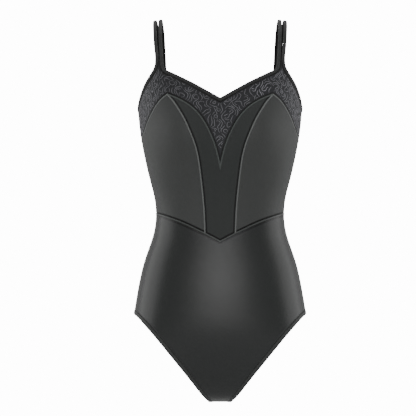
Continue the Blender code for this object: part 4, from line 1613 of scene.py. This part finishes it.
class LEOTARD_OT_stage(bpy.types.Operator):
    """Make the floor, the studio lights and the camera"""

    bl_idname = "leotard.make_stage"
    bl_label = "Stage"

    def execute(self, context):
        stage = context.scene.leotard_stage
        deselect_all()
        bpy.ops.mesh.primitive_circle_add(
            vertices=96, radius=stage.floor_radius, fill_type="NGON",
            location=(0, 0, stage.floor_height),
        )
        floor = context.active_object
        floor.name = "floor"
        bpy.ops.object.transform_apply(location=True, rotation=True, scale=True)
        floor.data.materials.append(self.white("pale floor"))
        for lamp in LAMPS:
            self.add_lamp(context, lamp, stage.light)
        self.add_world(context)
        self.add_camera(context, stage)
        return {"FINISHED"}

    @staticmethod
    def white(name):
        material = bpy.data.materials.new(name)
        material.use_nodes = True
        tree = Tree(material.node_tree)
        shader = material.node_tree.nodes["Principled BSDF"]
        shader.inputs["Base Color"].default_value = (0.70, 0.70, 0.70, 1)
        shader.inputs["Roughness"].default_value = 0.9
        noise = tree.node("ShaderNodeTexNoise", {"Scale": 3.0})
        tree.feed(shader.inputs["Roughness"], tree.scaled(noise.outputs[0], 0.3, 0.7, 0.85, 0.95))
        glow = tree.node("ShaderNodeEmission", {"Color": (1, 1, 1, 1), "Strength": WHITE})
        is_seen = tree.node("ShaderNodeLightPath").outputs["Is Camera Ray"]
        mixed = tree.node("ShaderNodeMixShader", {0: is_seen})
        tree.feed(mixed.inputs[1], shader.outputs[0])
        tree.feed(mixed.inputs[2], glow.outputs[0])
        tree.feed(material.node_tree.nodes["Material Output"].inputs[0], mixed.outputs[0])
        return material

    @staticmethod
    def add_lamp(context, lamp, brightness):
        around, up = math.radians(lamp.around), math.radians(lamp.up)
        way = Vector(
            (math.sin(around) * math.cos(up), -math.cos(around) * math.cos(up), math.sin(up))
        )
        light = bpy.data.lights.new(lamp.name, "AREA")
        light.shape = "RECTANGLE"
        light.size, light.size_y = lamp.wide, lamp.high
        light.energy = lamp.power * brightness
        item = bpy.data.objects.new(lamp.name, light)
        context.scene.collection.objects.link(item)
        item.location = AIM + way * lamp.away
        item.rotation_euler = (-way).to_track_quat("-Z", "Y").to_euler()
        item.visible_camera = False

    @staticmethod
    def add_world(context):
        world = bpy.data.worlds.new("studio")
        context.scene.world = world
        world.use_nodes = True
        tree = Tree(world.node_tree)
        ground = world.node_tree.nodes["Background"]
        ground.inputs[0].default_value = (1, 1, 1, 1)
        is_seen = tree.node("ShaderNodeLightPath").outputs["Is Camera Ray"]
        strength = tree.node("ShaderNodeMapRange", {0: is_seen, 3: AMBIENT, 4: WHITE})
        tree.feed(ground.inputs[1], strength.outputs[0])

    @staticmethod
    def add_camera(context, stage):
        camera = bpy.data.cameras.new("camera")
        camera.lens, camera.sensor_width = CAMERA_LENS, SENSOR
        item = bpy.data.objects.new("camera", camera)
        context.scene.collection.objects.link(item)
        away = stage.frame_width * CAMERA_LENS / SENSOR
        item.location = FRAME_MIDDLE + Vector((0, -away, 0))
        item.rotation_euler = (math.pi / 2, 0, 0)
        camera.clip_start, camera.clip_end = 0.1, 100.0
        context.scene.camera = item


AMBIENT = 0.30
WHITE = 14.0


class LEOTARD_PT_panel(bpy.types.Panel):
    """The leotard's sizes, colours and making steps"""

    bl_label = "Camisole leotard"
    bl_idname = "LEOTARD_PT_panel"
    bl_space_type = "VIEW_3D"
    bl_region_type = "UI"
    bl_category = "Leotard"

    def draw(self, context):
        for group in (context.scene.leotard_look, context.scene.leotard_stage):
            for name in group.__annotations__:
                self.layout.prop(group, name)
        for step in STEPS:
            self.layout.operator(step.bl_idname)


STEPS = (
    LEOTARD_OT_yoke,
    LEOTARD_OT_bodice,
    LEOTARD_OT_brief,
    LEOTARD_OT_bindings,
    LEOTARD_OT_straps,
    LEOTARD_OT_hems,
    LEOTARD_OT_allowances,
    LEOTARD_OT_stitching,
    LEOTARD_OT_stage,
)
CLASSES = (LeotardLook, LeotardStage, *STEPS, LEOTARD_PT_panel)


def register():
    for part in CLASSES:
        bpy.utils.register_class(part)
    bpy.types.Scene.leotard_look = bpy.props.PointerProperty(type=LeotardLook)
    bpy.types.Scene.leotard_stage = bpy.props.PointerProperty(type=LeotardStage)


def unregister():
    del bpy.types.Scene.leotard_look
    del bpy.types.Scene.leotard_stage
    for part in reversed(CLASSES):
        bpy.utils.unregister_class(part)


def main():
    register()
    make_materials(bpy.context.scene.leotard_look)
    bpy.ops.leotard.make_stage()
    bpy.ops.leotard.make_yoke()
    bpy.ops.leotard.make_bodice()
    bpy.ops.leotard.make_brief()
    bpy.ops.leotard.make_bindings()
    bpy.ops.leotard.make_straps()
    bpy.ops.leotard.make_hems()
    bpy.ops.leotard.make_allowances()
    bpy.ops.leotard.make_stitching()


if __name__ == "__main__":
    main()
